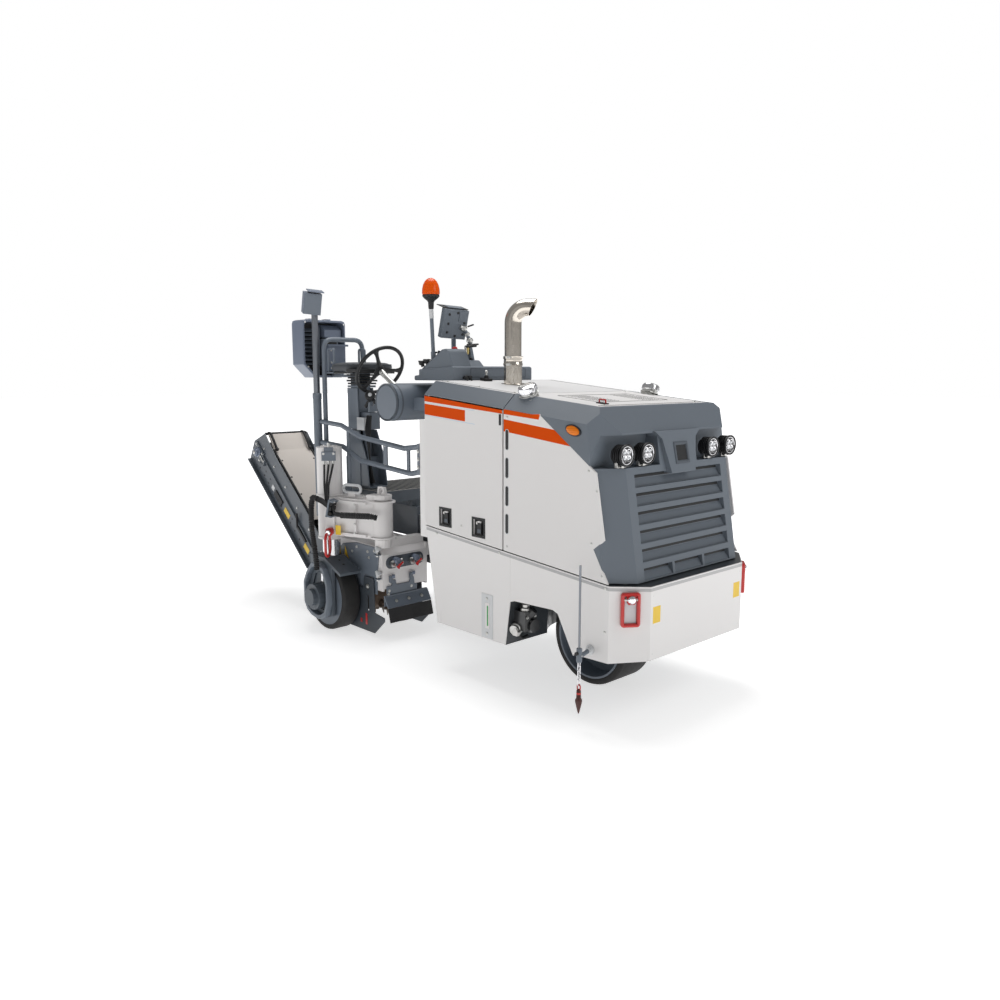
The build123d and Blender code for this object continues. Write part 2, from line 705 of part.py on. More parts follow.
def milling_drum():
    # hexagonal picks in their holders, wound round the tube as two opposed helices
    y0, y1 = HOUSING_Y[0] + 22, HOUSING_Y[1] - 22
    drum = across(DRUM_TUBE_RADIUS, DRUM_X, DRUM_Z, (y0, y1))
    drum -= across(DRUM_BORE + RUNNING_FIT, DRUM_X, DRUM_Z, (y0 - 1, y1 + 1))
    reach = DRUM_TIP_RADIUS - DRUM_TUBE_RADIUS
    for step in range(PICK_COUNT):
        share = (step + 0.5) / PICK_COUNT
        y = y0 + 14 + (y1 - y0 - 28) * share
        angle = 900 * share + 180 * (step % 2)
        holder = block((-32, 18), (-11, 11), (DRUM_TUBE_RADIUS - 8, DRUM_TUBE_RADIUS + 0.45 * reach))
        pick = extrude(RegularPolygon(12, 6), amount=50, taper=9)
        pick = Pos(-6, 0, DRUM_TUBE_RADIUS + 0.46 * reach) * Rot(0, 40, 0) * pick
        drum += Pos(DRUM_X, y, DRUM_Z) * Rot(0, angle, 0) * (holder + pick)
    return drum


def edge_plate(side):
    if side < 0:
        y = (HOUSING_Y[0] - 22, HOUSING_Y[0] - 14)
    else:
        y = (HOUSING_Y[1] + 5, HOUSING_Y[1] + 13)
    plate = side_profile([
        (-104, 60),
        (-70, 25),
        (332, 25),
        (450, 130),
        (450, 156),
        (338, 172),
        (328, 412),
        (216, 412),
        (206, 330),
        (-104, 320),
    ], y)
    for x in (-40, 261):
        plate -= block((x - 9, x + 9), (y[0] - 1, y[1] + 1), (172, 280))
    return plate


def front_flap():
    return side_profile([(463, 217), (471, 222), (497, 128), (486, 124)], (-508, -142))


def valve_block():
    blocks = []
    for y in (-405, -245):
        body = block((412, 450), (y - 42, y + 42), (480, 550))
        body += bar((440, y - 20, 515), (480, y - 20, 515), 17)
        body += bar((440, y + 20, 515), (480, y + 20, 515), 17)
        blocks.append(body)
    return blocks


# ---- Conveyor, in its own plane: u runs up the belt, v stands square to it ----

def conveyor_place(shape):
    # shape is drawn with u along -X and v along +Z; it is tipped about the foot
    return Pos(CONVEYOR_FOOT[0], 0, CONVEYOR_FOOT[1]) * Rot(0, CONVEYOR_ANGLE, 0) * shape


def along(points, y):
    return side_profile([(-u, v) for u, v in points], y)


def conveyor_frame():
    cheek = [(120, -20), (1502, -20), (1534, 145), (1446, 309), (1200, 281), (150, 280)]
    cheek += [(60, 210), (10, 150), (5, 100), (40, 40)]
    parts = along(cheek, (CONVEYOR_Y[0], CONVEYOR_Y[0] + 6))
    parts += along(cheek, (CONVEYOR_Y[1] - 6, CONVEYOR_Y[1]))
    for u in (260, 620, 1130):
        parts += Pos(-u, 0, 10) * across_bar(20, 0, 0, CONVEYOR_Y, 8)
    for y, way in ((CONVEYOR_Y[0], -1), (CONVEYOR_Y[1], 1)):
        flange = sorted((y, y + 30 * way))
        strip = sorted((y, y + 14 * way))
        parts += along([(BEAM_FOOT, -20), (1490, -20), (1490, -10), (BEAM_FOOT, -10)], flange)
        parts += along([(BEAM_FOOT, 128), (1440, 152), (1440, 160), (BEAM_FOOT, 136)], strip)
    pin_y = (CONVEYOR_Y[0] - 10, CONVEYOR_Y[1] + 14)
    parts += Pos(-HINGE_ALONG, 0, HINGE_ABOVE) * across(HINGE_RADIUS, 0, 0, pin_y)
    roller_y = (CONVEYOR_Y[0] + 30, CONVEYOR_Y[1] - 30)
    for u, v in BELT_ENDS:
        parts += Pos(-u, 0, v) * across_bar(BELT_ROLLER - 0.5, 0, 0, roller_y, 24)
        parts += Pos(-u, 0, v) * across_bar(18, 0, 0, CONVEYOR_Y, 12)
    return conveyor_place(parts)


def belt_loop(radius, y):
    (u0, v0), (u1, v1) = BELT_ENDS
    rise = Vector(u1 - u0, v1 - v0, 0)
    normal = Vector(-rise.Y, rise.X, 0).normalized() * radius
    flat = along([
        (u0 + normal.X, v0 + normal.Y),
        (u1 + normal.X, v1 + normal.Y),
        (u1 - normal.X, v1 - normal.Y),
        (u0 - normal.X, v0 - normal.Y),
    ], y)
    for u, v in BELT_ENDS:
        flat += Pos(-u, 0, v) * across(radius, 0, 0, y)
    return flat


def conveyor_belt():
    loop = belt_loop(BELT_ROLLER + 9, (-488, -172)) - belt_loop(BELT_ROLLER, (-489, -171))
    return conveyor_place(loop)


def conveyor_cover():
    cover = along([(560, 262), (1300, 262), (1440, 300), (1440, 306), (1298, 268), (560, 268)], (-490, -170))
    return conveyor_place(cover)


# ---- Operator's stand ----

def operator_platform():
    frame = block(FLOOR_X, FLOOR_Y, (905, FLOOR_Z))
    lip = 12
    inside = (FLOOR_X[0] + lip, FLOOR_X[1] - lip), (FLOOR_Y[0] + lip, FLOOR_Y[1] - lip)
    frame -= block(*inside, (904, FLOOR_Z - 30))
    step = (FLOOR_Y[1] - FLOOR_Y[0] - 24) / SLOT_COUNT
    for n in range(SLOT_COUNT):
        y = FLOOR_Y[0] + 12 + step * (n + 0.5)
        frame -= block((FLOOR_X[0] + 20, FLOOR_X[1] - 20), (y - 14, y + 14), (FLOOR_Z - 40, FLOOR_Z + 1))
    for y in (-100, 420):
        frame += block((-150, -90), (y - 20, y + 20), (860, 960))
        frame += block((180, 240), (y - 20, y + 20), (860, 960))
    # two treads behind the stand, between a pair of side plates
    for y in (100, 442):
        plate = [(-250, 975), (-250, 905), (-345, 850), (-352, 380), (-540, 380), (-540, 430), (-400, 790)]
        frame += side_profile(plate, (y, y + 8))
    for x, z in ((-536, 392), (-470, 640)):
        frame += block((x, x + 114), (104, 446), (z, z + 22))
    return frame


def guard_rails():
    y = RAIL_Y
    upper = [(-338, y, 1449), (-77, y, 1434), (164, y, 1364), (655, y, 1318), (925, y - 78, 1350)]
    rails = bent_bar(upper, 60, RAIL_RADIUS)
    rails += bent_bar([(-338, y, 1300), (-60, y, 1286), (169, y, 1202), (702, y, 1162)], 60, RAIL_RADIUS)
    rails += block((430, 470), (y - 5, y + 5), (1180, 1330))
    rails += block((686, 712), (y - 6, y + 6), (1158, 1318))
    rails += bar((12, y, 980), (12, y, 1410), 14)
    rails += block((-8, 32), (y - 16, FLOOR_Y[0]), (962, 982))
    rails += block((915, POST_X[0]), (-590, -556), (1178, 1370))
    for z in (1290, 1440):
        rails += block((-336, -322), (y - 4, -452), (z, z + 18))
    tall = [(-330, -458, 960), (-330, -458, 2034), (-330, -133, 2034), (-330, -80, 960)]
    rails += bent_bar(tall, 60, RAIL_RADIUS)
    rails += block((-341, FLOOR_X[0]), (-475, -385), (950, 975))
    rails += block((-341, FLOOR_X[0]), (-104, -62), (950, 975))
    return rails


def mast():
    x, y = MAST
    pole = bar((x, y, 760), (x, y, 1640), 31, 16)
    pole += bar((x, y, 1640), (x, y, 2215), 23, 16)
    pole += block((x - 10, FLOOR_X[0]), (y - 12, y + 12), (900, 925))
    pole += block((FLOOR_X[0] - 20, FLOOR_X[0]), (y - 12, -380), (900, 925))
    head = block((-60, 60), (-50, 50), (-75, 75))
    cap = block((-20, 100), (-40, 40), (82, 92))
    cap += block((-10, 10), (-10, 10), (70, 90))
    pole += Pos(x + 20, y, 2285) * Rot(0, 12, 0) * (head + cap)
    return pole


def finned_cabinet():
    x = (-640, -480)
    outline = [(-455, 1760), (-180, 1760), (-130, 1830), (-130, 2150)]
    outline += [(-160, 2180), (-500, 2180), (-535, 2150), (-535, 1850)]
    shell = cross_profile(outline, x)
    shell -= cross_profile([(-500, 1860), (-170, 1860), (-170, 2140), (-500, 2140)], (x[0] + 30, x[1] + 1))
    for n in range(6):
        z = 1890 + 44 * n
        shell += block((x[0] + 25, x[1] - 12), (-501, -169), (z, z + 8))
    return shell


def stand_column():
    # carries the seat, its side box and the finned cabinet
    column = block((-210, 60), (-350, -210), (FLOOR_Z, FLOOR_Z + 12))
    column += block((-190, -90), (-330, -230), (FLOOR_Z + 12, 1790))
    column += side_profile([(-90, 1000), (40, 1000), (-90, 1400)], (-300, -292))
    column += block((-90, 30), (-325, -235), (1400, 1520))
    column += block((-270, 10), (-420, -140), (1790, 1806))
    column += block((-480, -190), (-300, -260), (1765, 1785))
    return column


def seat_cushion():
    return fillet(block((-280, 20), (-460, -80), (1806.5, 1870)).edges().filter_by(Axis.Z), 40)


def steering_wheel():
    ring = extrude(RegularPolygon(192, 32), amount=24) - extrude(RegularPolygon(168, 32), amount=24)
    faces = ring.faces().sort_by(Axis.Z)
    ring = chamfer(faces[0].edges() + faces[-1].edges(), 7)
    wheel = Pos(0, 0, -12) * ring + bar((0, 0, -15), (0, 0, 15), 34, 12)
    for n in range(3):
        wheel += Rot(0, 0, 90 + 120 * n) * Pos(100, 0, 0) * Box(150, 34, 8)
    return Pos(*WHEEL_HUB) * Rot(0, -WHEEL_RAKE, 0) * wheel


def steering_column():
    hub = Vector(*WHEEL_HUB)
    down = Vector(cos(radians(90 - WHEEL_RAKE)), 0, -sin(radians(90 - WHEEL_RAKE)))
    column = bar(hub + down * 17, hub + down * 420, 19, 12)
    column -= across(TANK_RADIUS + 0.3, TANK_X, TANK_Z, (-540, -20))
    column &= block((0, TANK_X), (-400, -200), (1500, 1900))
    return column


def round_tank():
    tank = across(TANK_RADIUS, TANK_X, TANK_Z, (-540, -20))
    tank += across(TANK_RADIUS - 12, TANK_X, TANK_Z, (-552, -538))
    tank += block((TANK_X, BODY_REAR_X), (-420, -380), (1560, 1640))
    tank += block((TANK_X, BODY_REAR_X), (-120, -80), (1560, 1640))
    return tank


def console():
    desk = [(585, 1748), (585, 1779), (636, 1784), (636, 1820), (966, 1840), (985, 1834), (985, 1748)]
    panel = [(640, 1818), (872, 1950), (900, 1950), (978, 1830)]
    ramp = [(640, 1818), (770, 1868), (850, 1884), (940, 1832)]
    foot = [(640, 1750), (800, 1750), (BODY_REAR_X, 1700), (BODY_REAR_X, 1500), (970, 1500), (780, 1700)]
    body = side_profile(desk, (-355, 335))
    body += side_profile(panel, (-150, 310))
    body += side_profile(ramp, (-340, -150))
    body += side_profile(foot, (60, 300))
    return body


def display_unit():
    x, y, z = DISPLAY
    arm = bar((x, y, z), (x, y, z + 110), 14)
    arm += bar((x, y, z + 85), (x, y, z + 125), 26, 12)
    arm += bar((x, y, z + 105), (x - 30, y - 66, z + 172), 13)
    screen = Pos(x - 38, y - 106, z + 203) * Rot(0, 15, -12) * Box(46, 180, 190)
    shade = Pos(x - 56, y - 106, z + 308) * Rot(0, 15, -12) * Box(110, 190, 5)
    return arm + screen + shade


def beacon():
    base = Vector(*BEACON)
    top = Vector(648, -254, 2206)
    lamp = bar(base, top, 12)
    lamp += bar(base, base + (top - base) * 0.1, 22, 12)
    for low, high, radius in ((-60, 50, 18), (50, 81, 46), (81, 150, 58), (150, 182, 46), (182, 194, 26)):
        lamp += bar(top + Vector(0, 0, low), top + Vector(0, 0, high), radius, 12)
    lamp -= side_profile([(560, 1700), (560, 1820.5), (648, 1821.5), (770, 1868.5), (770, 1700)], (-340, -150))
    return lamp


# ---- Small exterior pieces ----

def tow_shackles():
    rings = []
    middle_x = (CORNER_X + FRONT_X) / 2
    middle_y = (BODY_HALF + FRONT_HALF) / 2
    slant = degrees(atan((BODY_HALF - FRONT_HALF) / (FRONT_X - CORNER_X)))
    for side in (-1, 1):
        ring = Box(24, 100, 180) - Box(30, 56, 130)
        ring = fillet(ring.edges().filter_by(Axis.X), 20)
        turn = side * (90 - slant)
        out = 13.5
        x = middle_x + out * cos(radians(turn))
        y = side * middle_y + out * sin(radians(turn))
        rings.append(Pos(x, y, 640) * Rot(0, 0, turn) * ring)
    return rings


def pointer_rod():
    x, y = POINTER
    stub = bar((x, -590, 410), (x, -700, 410), 11)
    stub += bar((x, -604, 410), (x, -590, 410), 26, 12)
    stub += block((x - 18, x + 18), (y - 18, y + 18), (392, 428))
    stub += bar((x, y, 380), (x, y, 860), 6)
    return stub


def pointer_weight():
    # a pointed weight on a short chain
    x, y = POINTER
    weight = Pos(x, y, 94) * extrude(RegularPolygon(4, 8), amount=76, taper=-12)
    weight += bar((x, y, 170), (x, y, 220), 13)
    weight += bar((x, y, 218), (x, y, 240), 5)
    for n in range(5):
        link = Box(24, 5, 38) - Box(12, 6, 26)
        weight += Pos(x, y, 361 - 25.5 * n) * Rot(0, 0, 90 * (n % 2)) * link
    return weight


def node_list():
    nodes = {
        "chassis_frame": chassis_half((200, FRAME_SPLIT_X - 0.2)),
        "front_frame": chassis_half((FRAME_SPLIT_X + 0.2, 2700)),
        "rear_frame": rear_frame(),
        "engine_block": engine_block(),
        "rear_hood": rear_hood(),
        "right_door": door(-1),
        "left_door": door(1),
        "exhaust_stack": exhaust_stack(),
        "hood_moulding": hood_moulding(),
        "hood_panels": hood_panels(),
        "work_lamps": work_lamps(),
        "filler_caps": filler_caps(),
        "front_fork": front_fork(),
        "front_rim": rim(FRONT_RADIUS, FRONT_WIDTH, 0, FRONT_AXLE_X, 150, -1),
        "front_tyre": tyre(FRONT_RADIUS, FRONT_WIDTH, 0, FRONT_AXLE_X),
        "swing_arm": swing_arm(),
        "left_column": left_column(),
        "arm_hoses": arm_hoses(),
        "drum_housing": drum_housing(),
        "housing_plates": housing_plates(),
        "milling_drum": milling_drum(),
        "right_edge_plate": edge_plate(-1),
        "left_edge_plate": edge_plate(1),
        "front_flap": front_flap(),
        "valve_block": valve_block(),
        "conveyor_frame": conveyor_frame(),
        "conveyor_belt": conveyor_belt(),
        "conveyor_cover": conveyor_cover(),
        "operator_platform": operator_platform(),
        "guard_rails": guard_rails(),
        "mast": mast(),
        "finned_cabinet": finned_cabinet(),
        "stand_column": stand_column(),
        "seat_cushion": seat_cushion(),
        "steering_column": steering_column(),
        "steering_wheel": steering_wheel(),
        "round_tank": round_tank(),
        "console": console(),
        "display_unit": display_unit(),
        "beacon": beacon(),
        "tow_shackles": tow_shackles(),
        "pointer_rod": pointer_rod(),
        "pointer_weight": pointer_weight(),
    }
    for name, side in (("right", -1), ("left", 1)):
        y = side * REAR_WHEEL_Y
        nodes[name + "_leg"] = rear_leg(side)
        nodes[name + "_rim"] = rim(REAR_RADIUS, REAR_WIDTH, y, REAR_AXLE_X, 60, -side)
        nodes[name + "_tyre"] = tyre(REAR_RADIUS, REAR_WIDTH, y, REAR_AXLE_X)
    return nodes


os.makedirs("parts", exist_ok=True)
for name, made in node_list().items():
    solids = made if isinstance(made, list) else made.solids()
    centred = [Pos(-MID_X, 0, 0) * solid for solid in solids]
    shape = centred[0] if len(centred) == 1 else Compound(centred)
    export_step(shape, "parts/" + name + ".step")
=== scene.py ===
import math

import bmesh
import bpy
from mathutils import Matrix, Vector


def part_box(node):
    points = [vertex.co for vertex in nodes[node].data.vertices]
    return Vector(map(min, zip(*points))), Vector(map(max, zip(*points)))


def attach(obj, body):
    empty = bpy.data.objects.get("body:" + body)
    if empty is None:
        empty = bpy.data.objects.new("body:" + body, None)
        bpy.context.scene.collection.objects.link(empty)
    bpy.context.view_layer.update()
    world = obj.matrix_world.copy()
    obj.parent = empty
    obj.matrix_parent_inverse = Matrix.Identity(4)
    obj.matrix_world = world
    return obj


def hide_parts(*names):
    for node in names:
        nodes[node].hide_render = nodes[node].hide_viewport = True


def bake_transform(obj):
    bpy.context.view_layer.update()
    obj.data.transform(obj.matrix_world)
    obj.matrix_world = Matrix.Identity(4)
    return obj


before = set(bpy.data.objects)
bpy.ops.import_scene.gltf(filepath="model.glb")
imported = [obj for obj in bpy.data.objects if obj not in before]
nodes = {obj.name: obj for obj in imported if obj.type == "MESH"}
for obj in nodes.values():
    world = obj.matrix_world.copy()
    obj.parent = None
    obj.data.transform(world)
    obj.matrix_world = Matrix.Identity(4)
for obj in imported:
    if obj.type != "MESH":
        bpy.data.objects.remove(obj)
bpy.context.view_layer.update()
scene = bpy.context.scene
print("frame loaded:", len(nodes), "nodes")

# places below are metres from the machine's own setting-out line, which lies just ahead of the rear axle
setOut = {"x": 0.586, "bodyHalf": 0.59, "rearX": 0.995, "splitX": 1.68, "frontX": 2.569}


def at(x, y, z):
    return Vector((x - setOut["x"], y, z))


def grooveZ(x):
    return 0.873 - 0.0793 * (x - setOut["rearX"])


def roofZ(x):
    return 1.751 - 0.0955 * (x - setOut["rearX"])


# shader graphs: a socket that takes the usual operators, and a material built from such sockets

class Value:
    def __init__(self, graph, socket):
        self.graph = graph
        self.socket = socket

    def __add__(self, other):
        return self.graph.maths("ADD", self, other)

    def __radd__(self, other):
        return self.graph.maths("ADD", other, self)

    def __sub__(self, other):
        return self.graph.maths("SUBTRACT", self, other)

    def __rsub__(self, other):
        return self.graph.maths("SUBTRACT", other, self)

    def __mul__(self, other):
        return self.graph.maths("MULTIPLY", self, other)

    def __rmul__(self, other):
        return self.graph.maths("MULTIPLY", other, self)

    def __truediv__(self, other):
        return self.graph.maths("DIVIDE", self, other)

    def __pow__(self, other):
        return self.graph.maths("POWER", self, other)

    def __gt__(self, other):
        return self.graph.maths("GREATER_THAN", self, other)

    def __lt__(self, other):
        return self.graph.maths("LESS_THAN", self, other)

    def __abs__(self):
        return self.graph.maths("ABSOLUTE", self)


class Graph:
    def __init__(self, name):
        self.material = bpy.data.materials.new(name)
        self.material.use_nodes = True
        self.tree = self.material.node_tree
        self.tree.nodes.clear()
        self.shader = self.add("ShaderNodeBsdfPrincipled")
        self.add("ShaderNodeOutputMaterial", values={"Surface": self.shader.outputs[0]})
        self.coords = self.add("ShaderNodeTexCoord").outputs["Object"]

    def add(self, kind, settings=None, values=None):
        made = self.tree.nodes.new(kind)
        for key, value in (settings or {}).items():
            setattr(made, key, value)
        for key, value in (values or {}).items():
            self.feed(made.inputs[key], value)
        return made

    def feed(self, socket, value):
        if isinstance(value, Value):
            value = value.socket
        if isinstance(value, bpy.types.NodeSocket):
            self.tree.links.new(value, socket)
        else:
            socket.default_value = value

    def maths(self, operation, *values):
        made = self.add("ShaderNodeMath", {"operation": operation}, dict(enumerate(values)))
        return Value(self, made.outputs[0])

    def low(self, a, b):
        return self.maths("MINIMUM", a, b)

    def high(self, a, b):
        return self.maths("MAXIMUM", a, b)

    def between(self, value, low, high):
        return (value > low) * (value < high)

    def ramp(self, value, low, high):
        values = {"Value": value, "From Min": low, "From Max": high}
        return Value(self, self.add("ShaderNodeMapRange", {"clamp": True}, values).outputs[0])

    def place(self):
        # position along the machine, across it and above the ground
        made = self.add("ShaderNodeSeparateXYZ", values={0: self.coords})
        x, y, z = (Value(self, out) for out in made.outputs)
        return x + setOut["x"], y, z

    def noise(self, scale, detail=2.0, stretch=None):
        coords = self.coords
        if stretch:
            coords = self.add("ShaderNodeMapping", values={"Vector": coords, "Scale": stretch}).outputs[0]
        made = self.add("ShaderNodeTexNoise", values={"Vector": coords, "Scale": scale, "Detail": detail})
        return Value(self, made.outputs[0])

    def cells(self, scale):
        made = self.add("ShaderNodeTexVoronoi", values={"Vector": self.coords, "Scale": scale})
        return Value(self, made.outputs[0])

    def blend(self, factor, first, second):
        made = self.add("ShaderNodeMix", {"data_type": "RGBA"}, {0: factor, 6: first, 7: second})
        return made.outputs[2]

    def relief(self, height, strength, distance=0.001):
        values = {"Height": height, "Strength": strength, "Distance": distance}
        return self.add("ShaderNodeBump", values=values).outputs[0]

    def finish(self, **sockets):
        names = {"colour": "Base Color", "rough": "Roughness", "metal": "Metallic", "coat": "Coat Weight"}
        names.update({"coatRough": "Coat Roughness", "normal": "Normal", "glow": "Emission Color"})
        names.update({"glowStrength": "Emission Strength", "specular": "Specular IOR Level",
                      "sheen": "Sheen Weight"})
        for key, value in sockets.items():
            self.feed(self.shader.inputs[names[key]], value)
        return self.material


def shade(red, green, blue):
    # a screen colour of 0 to 255 as the linear colour a shader takes
    parts = [v / 255 for v in (red, green, blue)]
    return tuple(v / 12.92 if v <= 0.04045 else ((v + 0.055) / 1.055) ** 2.4 for v in parts) + (1.0,)


def deeper(colour, share):
    return tuple(v * share for v in colour[:3]) + (1.0,)


# finishes

def paintedSteel(name, colour, rough=0.36, coat=0.35, drift=0.05, peel=0.1):
    g = Graph(name)
    broad = g.noise(2.2, 3.0)
    fine = g.noise(38.0, 3.0)
    tone = g.blend(broad * drift * 2.0, colour, deeper(colour, 0.86))
    tone = g.blend(g.ramp(fine, 0.62, 0.8) * drift, tone, deeper(colour, 0.62))
    return g.finish(
        colour=tone,
        rough=rough + broad * 0.1,
        coat=coat,
        coatRough=0.12,
        normal=g.relief(g.noise(420.0, 1.0), peel, 0.0004),
    )


def bodyWhite():
    # white skin outside, dark on what lies behind it
    g = Graph("white paint over dark inner faces")
    x, y, z = g.place()
    white, inner = shade(228, 226, 225), shade(52, 56, 60)
    across = setOut["bodyHalf"] - abs(y)
    corner = (2.569 - x) * 0.8122 + (0.416 - abs(y)) * 0.5834
    depth = g.low(g.low(across, corner), 2.569 - x)
    behind = g.ramp(depth, 0.0045, 0.0055) * (x > 1.0) * (z < 0.885)
    spine = x < 0.9935
    tone = g.blend(g.noise(2.0, 3.0) * 0.1, white, deeper(white, 0.86))
    streak = g.ramp(g.noise(9.0, 3.0, (3.0, 3.0, 0.5)), 0.62, 0.85)
    low = g.ramp(z, 0.52, 0.26)
    tone = g.blend(streak * low * 0.22, tone, shade(150, 142, 132))
    # a grey band painted just under the groove: painted shadow below the groove's lip
    fall = z + (x - 0.995) * 0.0793
    paintedGrooveShadow = g.between(fall, 0.85, 0.8665) * (x > 1.0)
    tone = g.blend(paintedGrooveShadow * 0.75, tone, shade(150, 150, 152))
    tone = g.blend(g.high(behind, spine * (z < 0.8)), tone, inner)
    return g.finish(
        colour=tone,
        rough=0.34 + g.noise(3.0) * 0.1,
        coat=0.35,
        coatRough=0.1,
        normal=g.relief(g.noise(420.0, 1.0), 0.08, 0.0004),
    )


stripeColours = {"orange": shade(213, 74, 0), "line": shade(190, 206, 222)}


def stripedWhite():
    g = Graph("white paint with orange bands")
    x, y, z = g.place()
    white = shade(228, 226, 225)
    side = abs(y) > 0.5885
    level = z + (x - 1.0) * 0.076
    thin = g.between(level, 1.629, 1.664) * (x < 1.952 + (level - 1.629) * 0.35)
    wide = g.between(level, 1.551, 1.615) * (x < 1.367)
    frontLevel = z + (x - 1.693) * 0.106
    lower = g.between(frontLevel, 1.483, 1.549) * (x > 1.683)
    bands = g.high(g.high(thin, wide), lower) * side
    edging = g.between(level, 1.6665, 1.6695) + g.between(level, 1.6195, 1.6225)
    edging = g.high(edging, g.between(level, 1.5435, 1.5475)) * (x < 1.45) * side
    tone = g.blend(g.noise(2.0, 3.0) * 0.1, white, deeper(white, 0.86))
    tone = g.blend(g.ramp(edging, 0.0, 1.0) * 0.8, tone, stripeColours["line"])
    tone = g.blend(bands, tone, stripeColours["orange"])
    return g.finish(
        colour=tone,
        rough=0.5 + g.noise(3.0) * 0.08,
        specular=0.06,
        normal=g.relief(g.noise(420.0, 1.0), 0.06, 0.0004),
    )


def grainedMoulding(name, colour, rough=0.5, grain=0.22):
    g = Graph(name)
    skin = g.cells(520.0) + g.noise(260.0, 2.0) * 0.5
    tone = g.blend(g.noise(3.0, 4.0) * 0.25, colour, deeper(colour, 0.78))
    return g.finish(
        colour=tone,
        rough=rough + g.noise(14.0) * 0.1,
        specular=0.45,
        normal=g.relief(skin, grain, 0.0006),
    )


def bareMetal(name, colour, rough=0.28, brushed=(1.0, 1.0, 1.0), tarnish=None, strength=0.05):
    g = Graph(name)
    lines = g.noise(160.0, 2.0, brushed)
    tone = g.blend(g.noise(6.0, 3.0) * 0.4, colour, tarnish or deeper(colour, 0.72))
    return g.finish(
        colour=tone,
        metal=1.0,
        rough=rough + lines * 0.12,
        normal=g.relief(lines, strength, 0.0003),
    )


def tyreRubberFinish():
    g = Graph("solid tyre rubber")
    tone = g.blend(g.noise(24.0, 4.0), shade(26, 26, 27), shade(44, 43, 42))
    return g.finish(
        colour=tone,
        rough=0.62 + g.noise(30.0) * 0.18,
        normal=g.relief(g.noise(180.0, 3.0), 0.35, 0.0012),
    )


def rubberFinish(name, colour):
    g = Graph(name)
    tone = g.blend(g.noise(30.0, 3.0), colour, deeper(colour, 1.7))
    return g.finish(colour=tone, rough=0.55 + g.noise(22.0) * 0.15,
                    normal=g.relief(g.noise(240.0, 2.0), 0.25, 0.0008))


def drumIron():
    # dark tube and holders, worn bright towards the pick points
    g = Graph("worn drum iron")
    x, _, z = g.place()
    reach = g.maths("SQRT", (x - 0.14) * (x - 0.14) + (z - 0.3) * (z - 0.3))
    worn = g.ramp(reach, 0.186, 0.222)
    tone = g.blend(g.noise(18.0, 5.0), shade(72, 60, 50), shade(112, 92, 74))
    tone = g.blend(worn, tone, shade(168, 164, 158))
    return g.finish(
        colour=tone,
        metal=0.25 + worn * 0.7,
        rough=0.68 - worn * 0.34,
        normal=g.relief(g.noise(90.0, 4.0), 0.5, 0.0015),
    )


def legFinish():
    # slate guard and cheek, polished leg
    g = Graph("slate guard with polished leg")
    x, y, z = g.place()
    away = g.maths("SQRT", (x + 0.064) * (x + 0.064) + (abs(y) - 0.6035) * (abs(y) - 0.6035))
    leg = (z > 0.531) * (away < 0.0632)
    slate = shade(84, 92, 100)
    tone = g.blend(g.noise(9.0, 4.0) * 0.3, slate, deeper(slate, 0.7))
    tone = g.blend(g.ramp(g.noise(30.0, 4.0), 0.6, 0.78) * g.ramp(z, 0.55, 0.1) * 0.35, tone,
                   shade(136, 126, 112))
    tone = g.blend(leg, tone, shade(214, 214, 216))
    return g.finish(
        colour=tone,
        metal=leg,
        rough=0.44 - leg * 0.34,
        normal=g.relief(g.noise(300.0, 1.0), 0.1, 0.0005),
    )


def treadSteel():
    # slate frame, worn bright bars on the walking level
    g = Graph("worn grating")
    _, _, z = g.place()
    walk = (z > 0.9835) * (z < 0.99)
    slate = shade(88, 96, 104)
    tone = g.blend(g.noise(9.0, 4.0) * 0.3, slate, deeper(slate, 0.7))
    tone = g.blend(walk, tone, shade(150, 148, 144))
    return g.finish(colour=tone, metal=walk * 0.6, rough=0.5 - walk * 0.12,
                    normal=g.relief(g.noise(300.0, 1.0), 0.1, 0.0005))


def hoodWhite():
    # the fixed hood: pips on the roof, dark inside
    g = Graph("white hood with anti-slip roof")
    x, y, z = g.place()
    white = shade(230, 229, 229)
    top = 1.751 + 0.095 - x * 0.0955
    inside = g.ramp(top - z, 0.0045, 0.0055) * (abs(y) < 0.497)
    cheek = (abs(y) > 0.5012) * (z + (x - 0.995) * 0.0955 > 1.6705)
    field = g.between(x, 1.03, 1.66) * (abs(y) < 0.45)
    pips = g.ramp(g.cells(150.0), 0.3, 0.16)
    tone = g.blend(g.noise(2.0, 3.0) * 0.1, white, deeper(white, 0.88))
    tone = g.blend(pips * field * 0.1, tone, shade(150, 150, 152))
    tone = g.blend(inside * (x > 1.0015), tone, shade(58, 62, 66))
    tone = g.blend(cheek, tone, shade(98, 106, 115))
    return g.finish(
        colour=tone,
        rough=0.42 + field * 0.12,
        coat=0.15,
        normal=g.relief(pips * field, 0.35, 0.0008),
    )


def lensGlass():
    g = Graph("lamp lens")
    tone = g.blend(g.cells(300.0), shade(236, 238, 240), shade(196, 202, 208))
    return g.finish(colour=tone, rough=0.1, coat=1.0, coatRough=0.03, specular=0.8)


def amberLens(name, colour, glow):
    g = Graph(name)
    _, _, z = g.place()
    ribs = g.maths("SINE", z * 620.0) * 0.5 + 0.5
    tone = g.blend(ribs * 0.6, colour, deeper(colour, 0.62))
    return g.finish(
        colour=tone,
        rough=0.2,
        specular=0.12,
        coat=0.25,
        coatRough=0.05,
        glow=colour,
        glowStrength=glow,
        normal=g.relief(ribs, 0.4, 0.001),
    )


def seatVinyl():
    g = Graph("seat vinyl")
    tone = g.blend(g.noise(12.0, 4.0), shade(46, 50, 55), shade(62, 67, 73))
    return g.finish(colour=tone, rough=0.52 + g.noise(20.0) * 0.1, sheen=0.15,
                    normal=g.relief(g.cells(420.0), 0.3, 0.0006))


